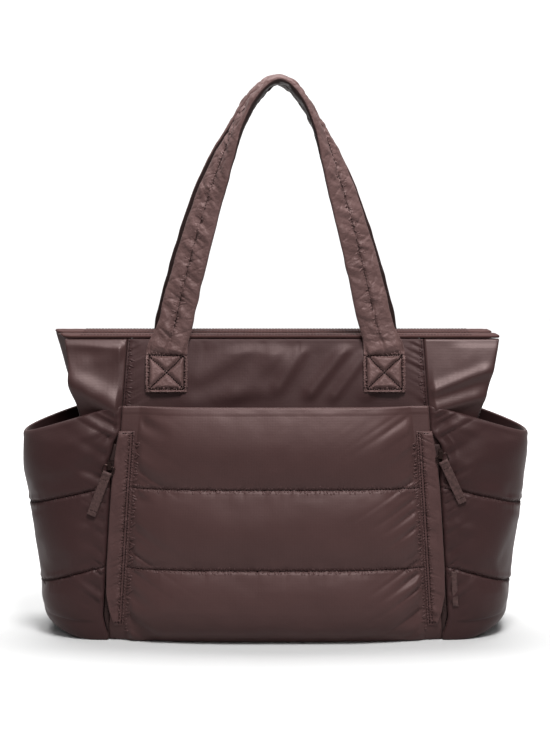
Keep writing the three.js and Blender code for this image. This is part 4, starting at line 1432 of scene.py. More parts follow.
@dataclass
class SidePocket:
    """A slip pocket round one end, quilted in three channels, with a floor."""

    end: End
    rows_in_channel: int = 52
    columns: int = 190
    line_puckers: Puckers = Puckers(amplitude=0.7, spacing=5.6, reach=6.5, seed=71)
    zip_puckers: Puckers = Puckers(amplitude=3.0, spacing=7.5, reach=18.0, seed=77, slant=-0.5)
    rim_puckers: Puckers = Puckers(amplitude=0.4, spacing=14.0, reach=9.0, seed=79)
    groove: float = 1.2
    billow: Billow = Billow(spare=0.01, cap=2.2)
    line_gathers: Gathers = Gathers(reach=4.0, height=1.7, seed=72)
    line_margin: float = 3.0
    floor_rows: int = 8
    edge_rows: int = 12
    sewn_share: float = 0.03
    least_wall: float = 0.7
    foot_rise: float = 9.0
    foot_height: float = 70.0

    def lift_foot(self, points: Array) -> Array:
        """Points with the far end of the pocket's foot drawn up off the floor, as a stuffed corner is."""
        x, z = np.abs(points[..., 0]), points[..., 2]
        rise = self.foot_rise * smoothstep(x, 195.0, 262.0) * np.clip(1 - z / self.foot_height, 0, 1) ** 1.6
        return points + rise[..., None] * np.array([0.0, 0.0, 1.0])

    def frame(self, u: Array, z: Array, inset: Array, turn: Array) -> tuple[Array, Array]:
        """Inner skin points and outward normals: the plan outline, its normal leaned down by the turn."""
        outline = lambda v: BAG.pocket_outline(v, z, inset, self.end.value)
        flat = BAG.plan_normal(outline, u)
        normal = np.concatenate([flat * np.sin(turn)[..., None], -np.cos(turn)[..., None]], axis=-1)
        return np.concatenate([outline(u), z[..., None]], axis=-1), normal

    def walk(self, us: Array, c: Array) -> tuple[Array, Array, Array, Array]:
        """Walks the inner skin: floor rows, rows round the bottom edge, then the channels.

        Args:
            us: Share of the way round of each column.
            c: How far each column has turned out to the tip.

        Returns:
            Points and normals, rows by columns by three, then each row's channel, or -1, and its share.
        """
        radius = BAG.bottom_radius - BAG.pocket_wall
        full = lambda value: np.full(us.shape, float(value))
        foot = BAG.pocket_outline(us, full(0), full(radius), self.end.value)
        ground = np.zeros(1)
        x = full(BAG.seam_x(ground)[0] + BAG.side_bulge + BAG.floor_out)
        line = spread(x, BAG.seam_y(ground) * BAG.floor_depth * (2 * us - 1))
        rows = []
        for share in np.linspace(0, 1, self.floor_rows + 1)[:-1]:
            point = np.concatenate([lerp(line, foot, share), full(BAG.pocket_wall)[:, None]], axis=-1)
            rows.append((point, np.broadcast_to([0.0, 0.0, -1.0], point.shape), -1, 0.0))
        for turn in np.linspace(0, np.pi / 2, self.edge_rows + 1)[:-1]:
            z = full(BAG.pocket_wall + radius * (1 - np.cos(turn)))
            framed = self.frame(us, z, full(radius * (1 - np.sin(turn))), full(turn))
            rows.append((*framed, -1, turn / np.pi))
        for number, part in zip(*QuiltGrid(rows_in_channel=self.rows_in_channel).rows()):
            below = BAG.side_line_height(BAG.quilt[number - 1], c) if number else full(BAG.bottom_radius)
            z = lerp(below, BAG.side_line_height(BAG.quilt[number], c), part)
            rows.append((*self.frame(us, z, full(0), full(np.pi / 2)), number, part))
        points, normals, number, part = (np.array(column) for column in zip(*rows))
        return points, normals, number[:, None], part[:, None]

    def relief(self, points: Array, c: Array, number: Array, part: Array) -> Array:
        """Small relief over the pocket: gathers at its quilt lines, its rim, its zip and its back seam."""
        z = points[..., 2]
        along = covered(points[-1, :, :2])
        girth = np.broadcast_to(along, z.shape)
        lift = np.zeros(z.shape)
        for line in BAG.quilt[:-1]:
            away = z - BAG.side_line_height(line, c)
            shift = 90 * line.height + np.where(away > 0, 60.0, 0.0)
            lift += self.line_puckers.height(girth + shift, away)
            lift -= self.groove * bump(away, GROOVE_WIDTH)
        below = BAG.side_line_height(BAG.quilt[-1], c) - z
        lift += self.rim_puckers.height(girth, below) * smoothstep(below, 2.0, 8.0)
        at_zip = smoothstep(girth, 2.0, 8.0) * smoothstep(z, 20.0, 60.0)
        lift += self.zip_puckers.height(z, girth - 5) * at_zip
        from_back = along[-1] - girth
        lift += 0.7 * self.zip_puckers.height(z + 400, from_back) * smoothstep(from_back, 1.0, 8.0)
        swollen = np.where(number >= 0, np.sin(np.pi * part) ** 0.5, 0.0)
        lift += Noise(81 + self.end.value).field(girth / 48, z / 30) * swollen
        return lift * smoothstep(z, 4.0, 20.0)

    def build(self) -> None:
        """Builds the pocket, with its padding and relief, and sews its quilt lines."""
        node = f"side_pocket_{self.end.label}"
        us = eased_shares(self.columns, 0.25)
        c, _ = BAG.super_point((us - 0.5) * np.pi, BAG.side_pocket_power)
        inner, normal, number, part = self.walk(us, c)
        x, z = inner[..., 0], inner[..., 2]
        start = BAG.pocket_start(np.broadcast_to(us, x.shape), z, self.end.value)
        padding = np.where(number >= 0, BAG.side_puff_at(x, z, start) * BAG.puff(part), 0.0)
        outer = inner + normal * (BAG.pocket_wall + padding)[..., None]
        sewn_in = (us < self.sewn_share) | (us > 1 - self.sewn_share)
        held = (number < 0) | sewn_rows(part) | sewn_in[None, :]
        outer = outer + swell(self.billow, node, outer[:, ::-1], held[:, ::-1])[:, ::-1]
        lift = np.maximum(self.relief(inner, c, number, part), self.least_wall - BAG.pocket_wall - padding)
        outer = outer + normal * lift[..., None]
        sign = np.array([self.end.value, 1.0, 1.0])
        outer, inner = self.lift_foot(outer * sign), self.lift_foot(inner * sign)
        if self.end is End.LEFT:
            outer, inner = outer[:, ::-1], inner[:, ::-1]
        # The side pocket takes the darker nylon: painted shade.
        pad(node, outer, inner, FINISHES.side)
        out = grid_normals(outer)
        out = out * np.sign((out * (outer - inner)).sum(-1, keepdims=True))
        first = self.floor_rows + self.edge_rows
        rows = [first + self.rows_in_channel * step for step in (1, 2)]
        sew_quilt(node, Skin(outer, out), rows, self.line_margin, self.line_gathers, FINISHES.side)


# Plackets


@dataclass
class Placket:
    """The stitched band beside a zip: sewn down along its inner edge, free along the outer one."""

    end: End
    bottom: float = 17.0
    top: float = 221.0
    reach: float = 15.0
    edge_heights: tuple[float, ...] = (0.0, 0.03, 0.07, 0.16, 0.3, 0.7, 0.87, 1.0)
    edge_out: tuple[float, ...] = (-0.9, -0.45, 0.1, 0.8, 1.0, 1.0, 0.75, 0.28)
    thickness: float = 3.0
    stitched_thickness: float = 0.7
    stitch_rows: tuple[float, ...] = (2.2, 5.0)
    rows: int = 230
    columns: int = 30
    puckers: Puckers = Puckers(amplitude=1.5, spacing=7.0, reach=9.0, seed=91, slant=0.5)
    least_thickness: float = 0.35
    tacks: tuple[tuple[float, float, float], ...] = ((218.8, 2.2, 13.0), (21.0, 1.5, 9.0))
    gathers: tuple[Gathers, ...] = (
        Gathers(pitch=3.2, reach=2.6, height=1.9, lean=0.6, sides=(1,), seed=92),
        Gathers(pitch=3.2, reach=4.0, height=2.2, lean=0.8, sides=(-1,), seed=93),
    )

    def edge(self, z: Array) -> Array:
        """How far the outer edge stands beyond the seam."""
        share = (z - self.bottom) / (self.top - self.bottom)
        return BAG.placket_overhang * np.interp(share, self.edge_heights, self.edge_out)

    def back(self, x: Array, z: Array) -> Array:
        """Depth of the band's inner face: it lies on the front pocket."""
        return BAG.front_pocket_inner(np.minimum(x, BAG.seam_x(z)), z) + BAG.pocket_wall + BAG.gap

    def build(self) -> None:
        """Builds the band and sews it."""
        z = lerp(self.bottom, self.top, eased_shares(self.rows, 0.25))
        u, high = np.meshgrid(eased_shares(self.columns, 0.4), z)
        x = BAG.seam_x(high) + lerp(-self.reach, self.edge(high), u)
        from_inner = x - (BAG.seam_x(high) - self.reach)
        from_outer = from_inner[:, -1:] - from_inner
        thick = lerp(self.stitched_thickness, self.thickness, smoothstep(from_inner, 3.0, 9.5))
        thick = thick - 0.6 * sum(bump(from_inner - row, 0.9) for row in self.stitch_rows)
        puckers = replace(self.puckers, seed=self.puckers.seed + self.end.value)
        lift = puckers.height(high, from_inner - 4.0)
        lift = lift + 0.9 * Noise(95 + self.end.value).field(high / 14, u * 2.0)
        lift = lift * smoothstep(from_outer, 0.0, 4.0) * smoothstep(from_inner, 0.0, 2.0)
        thick = np.maximum(self.least_thickness, thick + lift)
        ends = np.minimum(high - self.bottom, self.top - high)
        thick = np.maximum(self.least_thickness, thick * smoothstep(ends, -1.5, 4.0))
        depth = self.back(x, high)
        outer, inner = (spread(self.end.value * x, -y, high) for y in (depth + thick, depth))
        # The band takes the lighter nylon: painted light.
        pad(f"zip_placket_{self.end.label}", outer, inner, FINISHES.placket)
        self.sew_down(Skin(outer, face_front(grid_normals(outer))), from_inner, z)

    def sew_down(self, skin: Skin, from_inner: Array, z: Array) -> None:
        """Lays two rows of stitches with their gathers, and a tack across each end.

        Args:
            skin: The band's face.
            from_inner: Distance of each of its points from the inner edge.
            z: Height of each row.
        """
        name = f"zip_placket_{self.end.label}"
        rows = np.arange(2, len(z) - 2, 1.0)
        paths = [(rows, np.full(len(rows), distance)) for distance in self.stitch_rows]
        for height, low, high in self.tacks:
            paths.append((np.full(12, np.interp(height, z, np.arange(len(z)))), np.linspace(low, high, 12)))
        lines = []
        for row, distance in paths:
            column = columns_at(from_inner, row, distance)
            lines.append((sample(skin.points, row, column), sample(skin.normals, row, column)))
        stitch(name, lines, Stitching(pitch=2.8, thread=1.0))
        for label, row, gathers in zip(("inner", "outer"), self.stitch_rows, self.gathers):
            seam = straight((row, 2.0), (row, skin.tall - 2.0))
            gather(f"{name}_{label}", skin, [seam], gathers, FINISHES.placket)


# Zips


TOOTH_PITCH = 2.2
TOOTH_SHIFT = 0.9
TOOTH = {"length": 2.6, "width": 1.2, "height": 1.1, "around": 6, "along": 4}
EYE_DEPTH = 2.35


@dataclass
class SideZip:
    """The zip beside a side pocket: a woven tape with two rows of teeth."""

    end: End
    bottom: float = 10.0
    top: float = 207.0
    tape: float = 1.8
    slack: float = 1.0

    def build(self) -> None:
        """Builds the tape and its teeth."""
        name, sign = f"side_zip_{self.end.label}", self.end.value
        z = np.linspace(self.bottom, self.top, 90)
        u, high = np.meshgrid(np.linspace(0, 1, 9), z)
        seam = BAG.seam_x(high)
        far = np.maximum(seam + self.slack, BAG.pocket_front_x(high, sign) - self.slack)
        x = sign * lerp(seam + BAG.gap, far, u)
        y = -(BAG.seam_y(high) + BAG.gap)
        ridge = 0.35 * bump(u - 0.5, 0.2)
        outer, inner = spread(x, y - self.tape * 0.6 - ridge, high), spread(x, y, high)
        tape = Sheet(f"{name}_tape", outer, inner, edge_radius=0.5)
        settle(tape.build(), FINISHES.tape, Slot.ZIP_TAPE, (name,))
        z = np.arange(self.bottom + 20, self.top - 14, TOOTH_PITCH)
        middle = (BAG.seam_x(z) + BAG.gap + BAG.pocket_front_x(z, sign) - self.slack) / 2
        line = spread(sign * middle, -(BAG.seam_y(z) + BAG.gap + 1.35), z)
        lay_teeth(name, line, sign * np.eye(3)[0], np.eye(3))


def lay_teeth(name: str, line: Array, across: Array, frame: Array) -> None:
    """Lays a zip's teeth, each in turn to either side of its line.

    Args:
        name: Start of the new object's name.
        line: Places along the zip, by three.
        across: Direction across the zip.
        frame: A tooth's X, Y and Z.
    """
    side = np.where(np.arange(len(line)) % 2 == 0, -TOOTH_SHIFT, TOOTH_SHIFT)
    points, faces = bead(**TOOTH)
    frames = np.broadcast_to(frame, (len(line), 3, 3))
    teeth = repeat_shape(f"{name}_teeth", points, faces, line + side[:, None] * across, frames)
    settle(teeth, FINISHES.tape, Slot.ZIP_TAPE)


@dataclass
class PullSet:
    """A slider's ring and its folded tape pull, with axes across, outward and up on the slider's solid."""

    node: str
    name: str
    length: float
    axes: Array
    ring_width: float = 12.0
    ring_height: float = 8.4
    wire: float = 0.7
    pull_width: float = 9.4
    pull_thickness: float = 2.6
    head: float = 2.3
    sewn_below_head: float = 7.0
    sewn_above_end: float = 5.5

    def place(self, sections: Array) -> Array:
        """Points of the set's own axes, put where the solid slider's eye is."""
        low, high = (np.array(corner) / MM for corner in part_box(self.node.format("slider")))
        outward = self.axes[1]
        reach = np.abs(outward * (high - low)).sum() / 2 - EYE_DEPTH
        return sections @ self.axes + (low + high) / 2 + outward * reach

    def build(self) -> None:
        """Builds the ring and the pull in the set's own axes, then puts them in place."""
        wire = loft(f"{self.name}_ring_wire", self.place(self.ring()), closed_path=True)
        settle(wire, FINISHES.metal, Slot.ZIP_METAL, (self.node.format("ring"),))
        tape = loft(f"{self.name}_pull_tape", self.place(self.pull()))
        settle(tape, FINISHES.pull, Slot.PULL_TAPE, (self.node.format("pull"),))
        x = np.linspace(1.2 - self.pull_width / 2, self.pull_width / 2 - 1.2, 8)
        lines = []
        for depth in (self.length - self.sewn_above_end, self.sewn_below_head):
            points = self.place(spread(x, self.pull_thickness * 0.42, -self.ring_height - depth))
            lines.append((points, np.broadcast_to(self.axes[1], points.shape)))
        stitch(f"{self.name}_pull", lines, Stitching(pitch=2.0, thread=0.55), Slot.PULL_TAPE)
        FINISHES.dress(bpy.data.objects[self.node.format("slider")], FINISHES.metal)

    def ring(self) -> Array:
        """Sections of a round wire along a superellipse of power 6 that hangs from the origin."""
        angle = np.linspace(0, 2 * np.pi, 72, endpoint=False)
        x = signed_power(np.cos(angle), 2 / 6) * self.ring_width / 2
        z = (signed_power(np.sin(angle), 2 / 6) - 1) * self.ring_height / 2
        centre = spread(x, 0.0, z)
        along = unit(np.roll(centre, -1, axis=0) - np.roll(centre, 1, axis=0))
        out = np.array([0.0, 1.0, 0.0])
        side = np.cross(along, out)
        turn = np.linspace(0, 2 * np.pi, 12, endpoint=False)[None, :, None]
        return centre[:, None] + self.wire * (np.cos(turn) * out + np.sin(turn) * side[:, None])

    def pull(self) -> Array:
        """Sections of the tape: superellipses down a flat loop, round at the ring and sewn shut below it."""
        down = [np.linspace(-2.0, 2.2, 9), np.linspace(2.8, self.length - 0.6, 70), [self.length]]
        down = np.concatenate(down)[:, None]
        turn = np.linspace(0, 2 * np.pi, 36, endpoint=False)
        across = signed_power(np.cos(turn), 2 / 7) * self.pull_width / 2
        through = signed_power(np.sin(turn), 2 / 4)
        head = np.where(down < 2.2, np.sqrt(np.clip(1 - (down / self.head) ** 2, 0.0, 1.0)) * 2.2, 0.0)
        sewn = 1 - 0.25 * bump(down - self.length + self.sewn_above_end, 0.9)
        sewn = sewn - 0.18 * bump(down - self.sewn_below_head, 0.9)
        half = np.maximum(head, np.where(down > 0, self.pull_thickness / 2, 0.35) * sewn)
        narrow = np.where(down > self.length - 0.3, 0.93, 1.0)
        return spread(across * narrow, through * half, -self.ring_height - down)


def hanging(lean: float) -> Array:
    """Axes of a pull on the bag's front, across, outward and up, with its foot leaned by degrees of X."""
    angle = math.radians(lean)
    across = (math.cos(angle), 0.0, math.sin(angle))
    return np.array([across, (0.0, -1.0, 0.0), (-across[2], 0.0, across[0])])


# Axes of a pull that lies on the top, with its foot to the right
LYING = np.array([(0.0, 1.0, 0.0), (0.0, 0.0, 1.0), (-1.0, 0.0, 0.0)])


# Zipped top


@dataclass
class Closure:
    """The zipped top: two padded strips with rolled edges and the zip between them."""

    left: WingShares
    right: WingShares
    thickness: float = 3.2
    zip_width: float = 11.0
    tape: float = 1.8
    stations: int = 260
    puckers: Puckers = Puckers(amplitude=0.3, spacing=8.0, reach=7.0, seed=101)
    corner: float = 7.0
    inset: float = 1.0
    slider: float = 95.0
    slider_room: float = 7.0
    length: float = 430.0
    stitched: float = 50.0
    toothed: float = 60.0

    @property
    def bottom(self) -> float:
        """Height of the strips' lower face."""
        return BAG.height + BAG.gap

    def end_x(self, shares: WingShares, y: Array) -> Array:
        """Where the straight end crosses a depth."""
        share = (y + BAG.top_half_depth) / (2 * BAG.top_half_depth)
        return BAG.top_half_length + BAG.wing_reach * lerp(shares.front, shares.back, share)

    def strip(self, near: float, far: float, seed: int) -> Array:
        """Sections of a strip along X: superellipses between two depths, with small gathers on top."""
        a, profile, side = flat_section(30, 6.0)
        share = eased_shares(self.stations, 0.6)[:, None]
        ends = np.minimum(share, 1 - share) * self.length
        from_end = lambda radius: np.clip(1 - ends / radius, 0, 1)
        round_at = lambda radius, least: np.sqrt(np.clip(1 - from_end(radius) ** 2, least, 1.0))
        y = (near + far) / 2 + a * (far - near) / 2 * lerp(0.55, 1.0, round_at(self.corner, 0.0))
        lift = profile * side * self.thickness / 2
        x = lerp(self.inset - self.end_x(self.left, y), self.end_x(self.right, y) - self.inset, share)
        edge = max(abs(near), abs(far))
        small = replace(self.puckers, seed=seed).height(x, edge - 5 - np.abs(y))
        flat = round_at(1.5, 0.05)
        middle = self.bottom + self.thickness / 2
        return spread(x, y, middle + lift * flat - np.abs(small) * (lift > 0) * flat)

    def build(self) -> None:
        """Builds the strips, their edge stitches, the zip's tape and its teeth."""
        half = self.zip_width / 2
        edge = BAG.top_half_depth
        for name, near, far, seed in (("front", -edge, -half - 0.15, 103), ("back", half + 0.15, edge, 107)):
            node = f"closure_strip_{name}"
            strip = loft(f"{node}_padded", self.strip(near, far, seed))
            settle(strip, FINISHES.strip, Slot.NYLON, (node,))
            x = np.linspace(-BAG.top_half_length - self.stitched, BAG.top_half_length + self.stitched, 200)
            lines = []
            for y in (edge - 4.5, half + 3.5):
                points = spread(x, -y if name == "front" else y, self.bottom + self.thickness)
                lines.append((points, np.broadcast_to([0.0, 0.0, 1.0], points.shape)))
            stitch(node, lines)
        u, v = np.meshgrid(np.linspace(0, 1, 200), np.linspace(-half + 0.15, half - 0.15, 13))
        x = lerp(-self.end_x(self.left, v), self.end_x(self.right, v), u)
        top = self.bottom + self.tape * 0.75
        tape = Sheet("closure_zip_tape", spread(x, v, top), spread(x, v, self.bottom), edge_radius=0.5)
        settle(tape.build(), FINISHES.tape, Slot.ZIP_TAPE, ("closure_zip",))
        x = np.arange(-BAG.top_half_length - self.toothed, BAG.top_half_length + self.toothed, TOOTH_PITCH)
        x = x[np.abs(x - self.slider) > self.slider_room]
        turned = np.array([[0.0, 1.0, 0.0], [-1.0, 0.0, 0.0], [0.0, 0.0, 1.0]])
        lay_teeth("closure_zip", spread(x, 0.0, top + 0.15), turned[0], turned)


# Handles


@dataclass
class Handle:
    """A padded strap that stands up in an arch, sewn down in a square patch at each end."""

    name: str
    side: int
    half_span: float
    lean: float
    width: float = 36.0
    thickness: float = 9.5
    apex_thickness: float = 11.0
    rise: float = 266.0
    apex_depth: float = 18.8
    patch_x: float = 113.5
    patch_width: float = 43.0
    patch_height: float = 40.0
    patch_thickness: float = 4.0
    patch_below_top: float = 14.0
    closure: float = 3.2
    opens_over: float = 5.0
    across_power: float = 1.8
    up_power: float = 1.0
    twist_rise: tuple[float, ...] = (0.0, 0.25, 0.55, 0.7, 0.8, 0.9, 1.0)
    twist_turn: tuple[float, ...] = (0.0, 0.2, 0.42, 0.62, 0.84, 0.96, 1.0)
    stations: int = 760
    around: int = 46
    puckers: Puckers = Puckers(amplitude=2.1, spacing=7.0, reach=12.0, seed=121, slant=0.5)
    centre_gathers: Gathers = Gathers(pitch=3.8, reach=6.0, height=2.0, lean=0.9, seed=123)
    patch_gathers: Gathers = Gathers(pitch=3.0, reach=2.8, height=2.2, lean=0.3, seed=125)
    patch_edge: float = 3.2
    gathers_edge: float = 3.4
    pillow: float = 3.0
    seam_depth: float = 0.42
    seam_width: float = 0.1
    stitched_at: float = 0.58
    inner_shift: int = 37
    inner_relief: float = 0.8
    full_from: float = 0.9

    @property
    def top(self) -> float:
        """Height of the zipped top's upper face."""
        return BAG.height + BAG.gap + self.closure

    def control_points(self) -> Array:
        """Middle line's points from the left patch over the arch to the right patch."""
        bulge = BAG.front_bulge if self.side < 0 else BAG.back_bulge
        patch_top = BAG.height - self.patch_below_top
        z = lerp(patch_top - self.patch_height, patch_top, np.linspace(0, 1, 5))
        face = lambda height: BAG.panel_depth(bulge, self.patch_x - self.patch_width / 2, height)
        slope = (face(z + 1) - face(z - 1)) / 2
        y = face(z) + (BAG.gap + self.patch_thickness / 2) * np.hypot(1, slope)
        low = spread(self.patch_x, y, z, 0.0)
        angle = (np.pi / 2) * (np.arange(1, 15) / 14) ** 0.8
        up = np.sin(angle) ** (2 / self.up_power)
        rim_y = BAG.top_half_depth + 2 * BAG.gap + self.thickness / 2
        arch = spread(
            self.half_span * np.clip(np.cos(angle), 0, None) ** (2 / self.across_power),
            lerp(rim_y, self.apex_depth, up),
            self.top + self.rise * up,
            self.lean * up**2,
        )
        half = np.concatenate([low, arch])
        place = lambda rows, side: spread(rows[:, 3] + side * rows[:, 0], self.side * rows[:, 1], rows[:, 2])
        return np.concatenate([place(half, -1), place(half[-2::-1], 1)])

    def middle_line(self) -> tuple[Array, Array, float]:
        """Even points and unit tangents on the centripetal Catmull-Rom curve through the points."""
        p = self.control_points()
        p = np.concatenate([[2 * p[0] - p[1]], p, [2 * p[-1] - p[-2]]])
        step = np.linalg.norm(np.diff(p, axis=0), axis=1) ** 0.5
        step[0], step[-1] = step[1], step[-2]
        t = np.linspace(0, 1, 40, endpoint=False)[None, :, None]
        before, here, after = (step[i : len(step) - 2 + i, None, None] for i in range(3))
        a, b, c, d = (p[i : len(p) - 3 + i, None, :] for i in range(4))
        rise = ((b - a) / before - (c - a) / (before + here) + (c - b) / here) * here
        fall = ((c - b) / here - (d - b) / (here + after) + (d - c) / after) * here
        curve = b + rise * t + (3 * (c - b) - 2 * rise - fall) * t**2 + (2 * (b - c) + rise + fall) * t**3
        line = np.concatenate([curve.reshape(-1, 3), p[-2:-1]])
        length = covered(line)
        even = read_line(np.linspace(0, length[-1], self.stations + 1), length, line)
        return even, unit(np.gradient(even, axis=0)), length[-1]

    def relief(self, s: Array, mm_across: Array, seed: int) -> Array:
        """Small relief of the strap: gathers at its centre seam, crumples and thin ridged folds."""
        puckers = replace(self.puckers, seed=seed)
        lift = puckers.height(s + np.where(mm_across > 0, 160.0, 0.0), mm_across)
        lift = lift + 1.3 * Noise(seed + 9).field((s + 0.6 * mm_across) / 8, mm_across / 12)
        fold = np.abs(Noise(seed + 13).field((s - 0.7 * mm_across) / 11, mm_across / 16))
        return lift - 0.8 * np.clip(1 - fold * 5, 0, 1)

    def build(self) -> None:
        """Builds the strap with its rolls, centre seam, gathers and patches, and sews it."""
        middle, along, length = self.middle_line()
        z = middle[:, 2]
        patch_top = BAG.height - self.patch_below_top
        free_from = self.top + self.opens_over
        opening = smoothstep(z, patch_top, free_from)
        rise = np.clip((z - free_from) / (self.rise - self.opens_over), 0, 1)
        width = lerp(self.patch_width, self.width, opening)
        padding = lerp(self.thickness, self.apex_thickness, rise**4)
        thickness = lerp(self.patch_thickness, padding, opening)
        twist = (np.pi / 2) * np.interp(rise, self.twist_rise, self.twist_turn)
        turn = self.side * np.sign(along[:, 2] + 1e-9) * np.cos(twist)
        upward = spread(-along[:, 2], 0.0, along[:, 0])
        face = unit(spread(0.0, turn * along[:, 2], -turn * along[:, 1]) + upward * np.sin(twist)[:, None])
        across = np.cross(along, face)
        a, padded, face_sign = flat_section(self.around, 2.5)
        flat = flat_section(self.around, 7.0)[1]
        rolls = padded * (1 - self.seam_depth * bump(a, self.seam_width))
        s = np.linspace(0, length, self.stations + 1)[:, None]
        share = opening[:, None]
        reach = np.broadcast_to(a, (len(s), len(a)))
        upper = face_sign[None, :] > 0
        sudden = smoothstep(z, patch_top - 1.0, patch_top + 4.5)[:, None]
        full = lerp(flat, rolls, sudden) * lerp(self.patch_thickness, self.thickness, sudden) / 2
        height = lerp(flat, rolls, share) * thickness[:, None] / 2
        height = np.where(upper, np.maximum(height, full), height)
        mm_across = reach * width[:, None] / 2
        seed = self.puckers.seed + self.side
        lift = self.relief(s, mm_across, seed)
        lift = np.where(upper, lift, np.roll(lift, self.inner_shift, axis=0) * self.inner_relief)
        lift = lift * np.clip(1 - np.abs(reach) ** 5, 0, 1) * share
        on_patch = upper & (np.abs(reach) < SEWN_COLUMN)
        lift = lift + self.patch_pillows(z[:, None], mm_across) * on_patch * (1 - share)
        wobble = 1 + 0.03 * Noise(seed + 5).field(s / 13, np.sign(reach) * 3) * share
        sections = middle[:, None] + across[:, None] * (mm_across * wobble)[..., None]
        sections = sections + face[:, None] * (face_sign * (height + lift))[..., None]
        strap = loft(f"handle_{self.name}_padded", sections)
        # The strap takes the lighter nylon: painted light.
        settle(strap, FINISHES.painted_light_gathered, Slot.NYLON, (f"handle_{self.name}",))
        self.paint_underside_shade(strap, len(s) - 1, face_sign)
        self.stitch(middle, face, across, opening > self.full_from, thickness)
        self.gather(sections[:, : self.around], face, opening, z)

    def paint_underside_shade(self, strap: bpy.types.Object, spans: int, face_sign: Array) -> None:
        """Gives the strap's inner face a darker cloth: painted shade on the strap's underside.

        Args:
            strap: The strap.
            spans: How many stretches it has between stations.
            face_sign: 1 or -1 for each section point, as the upper or the lower face.
        """
        # Outer faces in the lighter nylon, painted light; inner faces in the dark cloth, painted shade.
        FINISHES.dress(strap, FINISHES.painted_light_gathered, FINISHES.lining_and_painted_shade)
        painted_shade_faces = (face_sign < 0) | (np.roll(face_sign, -1) < 0)
        numbers = np.zeros(len(strap.data.polygons), np.int32)
        numbers[: spans * len(face_sign)] = np.tile(painted_shade_faces, spans)
        strap.data.polygons.foreach_set("material_index", numbers)

    def halves(self) -> dict[str, slice]:
        """The stations of both ends of the strap."""
        half = (self.stations + 1) // 2
        return {"left": slice(0, half), "right": slice(half, self.stations + 1)}

    def patch_box(self) -> tuple[float, float, float]:
        """Half width, lowest and highest height of a patch's stitched box."""
        top = BAG.height - self.patch_below_top
        return self.patch_width / 2 - self.patch_edge, top - self.patch_height + self.patch_edge, top - 3.0

    def patch_pillows(self, z: Array, mm_across: Array) -> Array:
        """Padding of a patch: it rises with the distance from the stitched box and its two diagonals."""
        half, low, high = self.patch_box()
        tall = (high - low) / 2
        v = z - (low + high) / 2
        diagonals = (np.abs(v * half - mm_across * tall), np.abs(v * half + mm_across * tall))
        box = np.minimum(np.abs(half - np.abs(mm_across)), np.abs(tall - np.abs(v)))
        near = np.minimum(np.minimum(*diagonals) / np.hypot(half, tall), box)
        return self.pillow * (smoothstep(near, 0.2, 3.4) - 0.5)

    def gather(self, upper: Array, face: Array, opening: Array, z: Array) -> None:
        """Lays the gathers along the centre seam, and along the box on both patches.

        Args:
            upper: The strap's outer face.
            face: Its outward normals.
            opening: Share of the full padding at each station.
            z: Height of each station.
        """
        normals = np.broadcast_to(face[:, None], upper.shape)
        free = np.flatnonzero(opening > self.full_from)
        skin = Skin(upper[free[0] : free[-1]], normals[free[0] : free[-1]])
        seam = straight((skin.wide / 2, 1.0), (skin.wide / 2, skin.tall - 1.0))
        gather(f"handle_{self.name}_centre", skin, [seam], self.centre_gathers, FINISHES.painted_light_gathered)
        highest = self.patch_box()[2] + 3
        for label, end in self.halves().items():
            inside = np.flatnonzero((z[end] < highest) & (opening[end] <= 0.02)) + end.start
            order = inside[np.argsort(z[inside])]
            skin = Skin(upper[order], normals[order])
            near, right, top = self.gathers_edge, skin.wide - self.gathers_edge, skin.tall - self.gathers_edge
            box = [(near, near), (right, near), (right, top), (near, top)]
            seams = [straight(box[i - 1], box[i]) for i in range(4)]
            gather(f"handle_{self.name}_{label}_patch", skin, seams, self.patch_gathers, FINISHES.painted_light_gathered)

    def stitch(self, middle: Array, face: Array, across: Array, free: Array, thickness: Array) -> None:
        """Lays the centre stitches along the strap, and the box and cross on both patches.

        Args:
            middle: Points of the middle line.
            face: The strap's outward normals.
            across: Directions across the strap.
            free: Which stations have their full padding.
            thickness: The strap's thickness.
        """
        depth = (thickness / 2 * self.stitched_at + 0.1)[:, None]
        lines = [((middle + side * face * depth)[free], side * face[free]) for side in (1, -1)]
        stitch(f"handle_{self.name}_centre", lines, Stitching(pitch=3.2, thread=0.6))
        lines = []
        half, low, high = self.patch_box()
        box = [(-half, low), (half, low), (half, high), (-half, high), (-half, low)]
        paths = (box, [box[0], box[2]], [box[1], box[3]])
        for end in self.halves().values():
            order = np.argsort(middle[end, 2])
            points, normals, sideways = (values[end][order] for values in (middle, face, across))
            for path in paths:
                count = len(path) - 1
                place = read_line(np.linspace(0, count, 30 * count), np.arange(count + 1), np.array(path))
                read = lambda values: read_line(place[:, 1], points[:, 2], values)
                raised = read(normals) * (self.patch_thickness / 2 - 0.75)
                lines.append((read(points) + read(sideways) * place[:, :1] + raised, read(normals)))
        stitch(f"handle_{self.name}_patch", lines, Stitching(pitch=2.4, thread=1.3))


# Small pieces


@dataclass
class SeamLabel:
    """The blank folded tab on the right side pocket."""

    from_seam: float = 12.5
    width: float = 6.0
    thickness: float = 0.9
    steps: int = 8

    def build(self) -> None:
        """Builds the tab as a thin sheet where its solid is."""
        solid = bpy.data.objects["seam_label"].data.vertices
        points = np.empty(len(solid) * 3, np.float32)
        solid.foreach_get("co", points)
        points = points.reshape(-1, 3) / MM
        low, high = (np.array(corner)[2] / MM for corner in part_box("seam_label"))
        marks = np.linspace(low, high, self.steps)
        near = np.abs(points[:, 2][None, :] - marks[:, None]) < (high - low) / (self.steps - 1)
        front = np.where(near, points[:, 1][None, :], np.inf).min(1)
        u, z = np.meshgrid(np.linspace(0, 1, 10), lerp(low, high, np.linspace(0, 1, 40)))
        outer = spread(BAG.seam_x(z) + self.from_seam + u * self.width, np.interp(z, marks, front) - 0.15, z)
        inner = outer + np.array([0.0, self.thickness, 0.0])
        piece = Sheet("seam_label_tab", outer, inner, edge_radius=0.4).build()
        settle(piece, FINISHES.pull, Slot.PULL_TAPE, ("seam_label",))


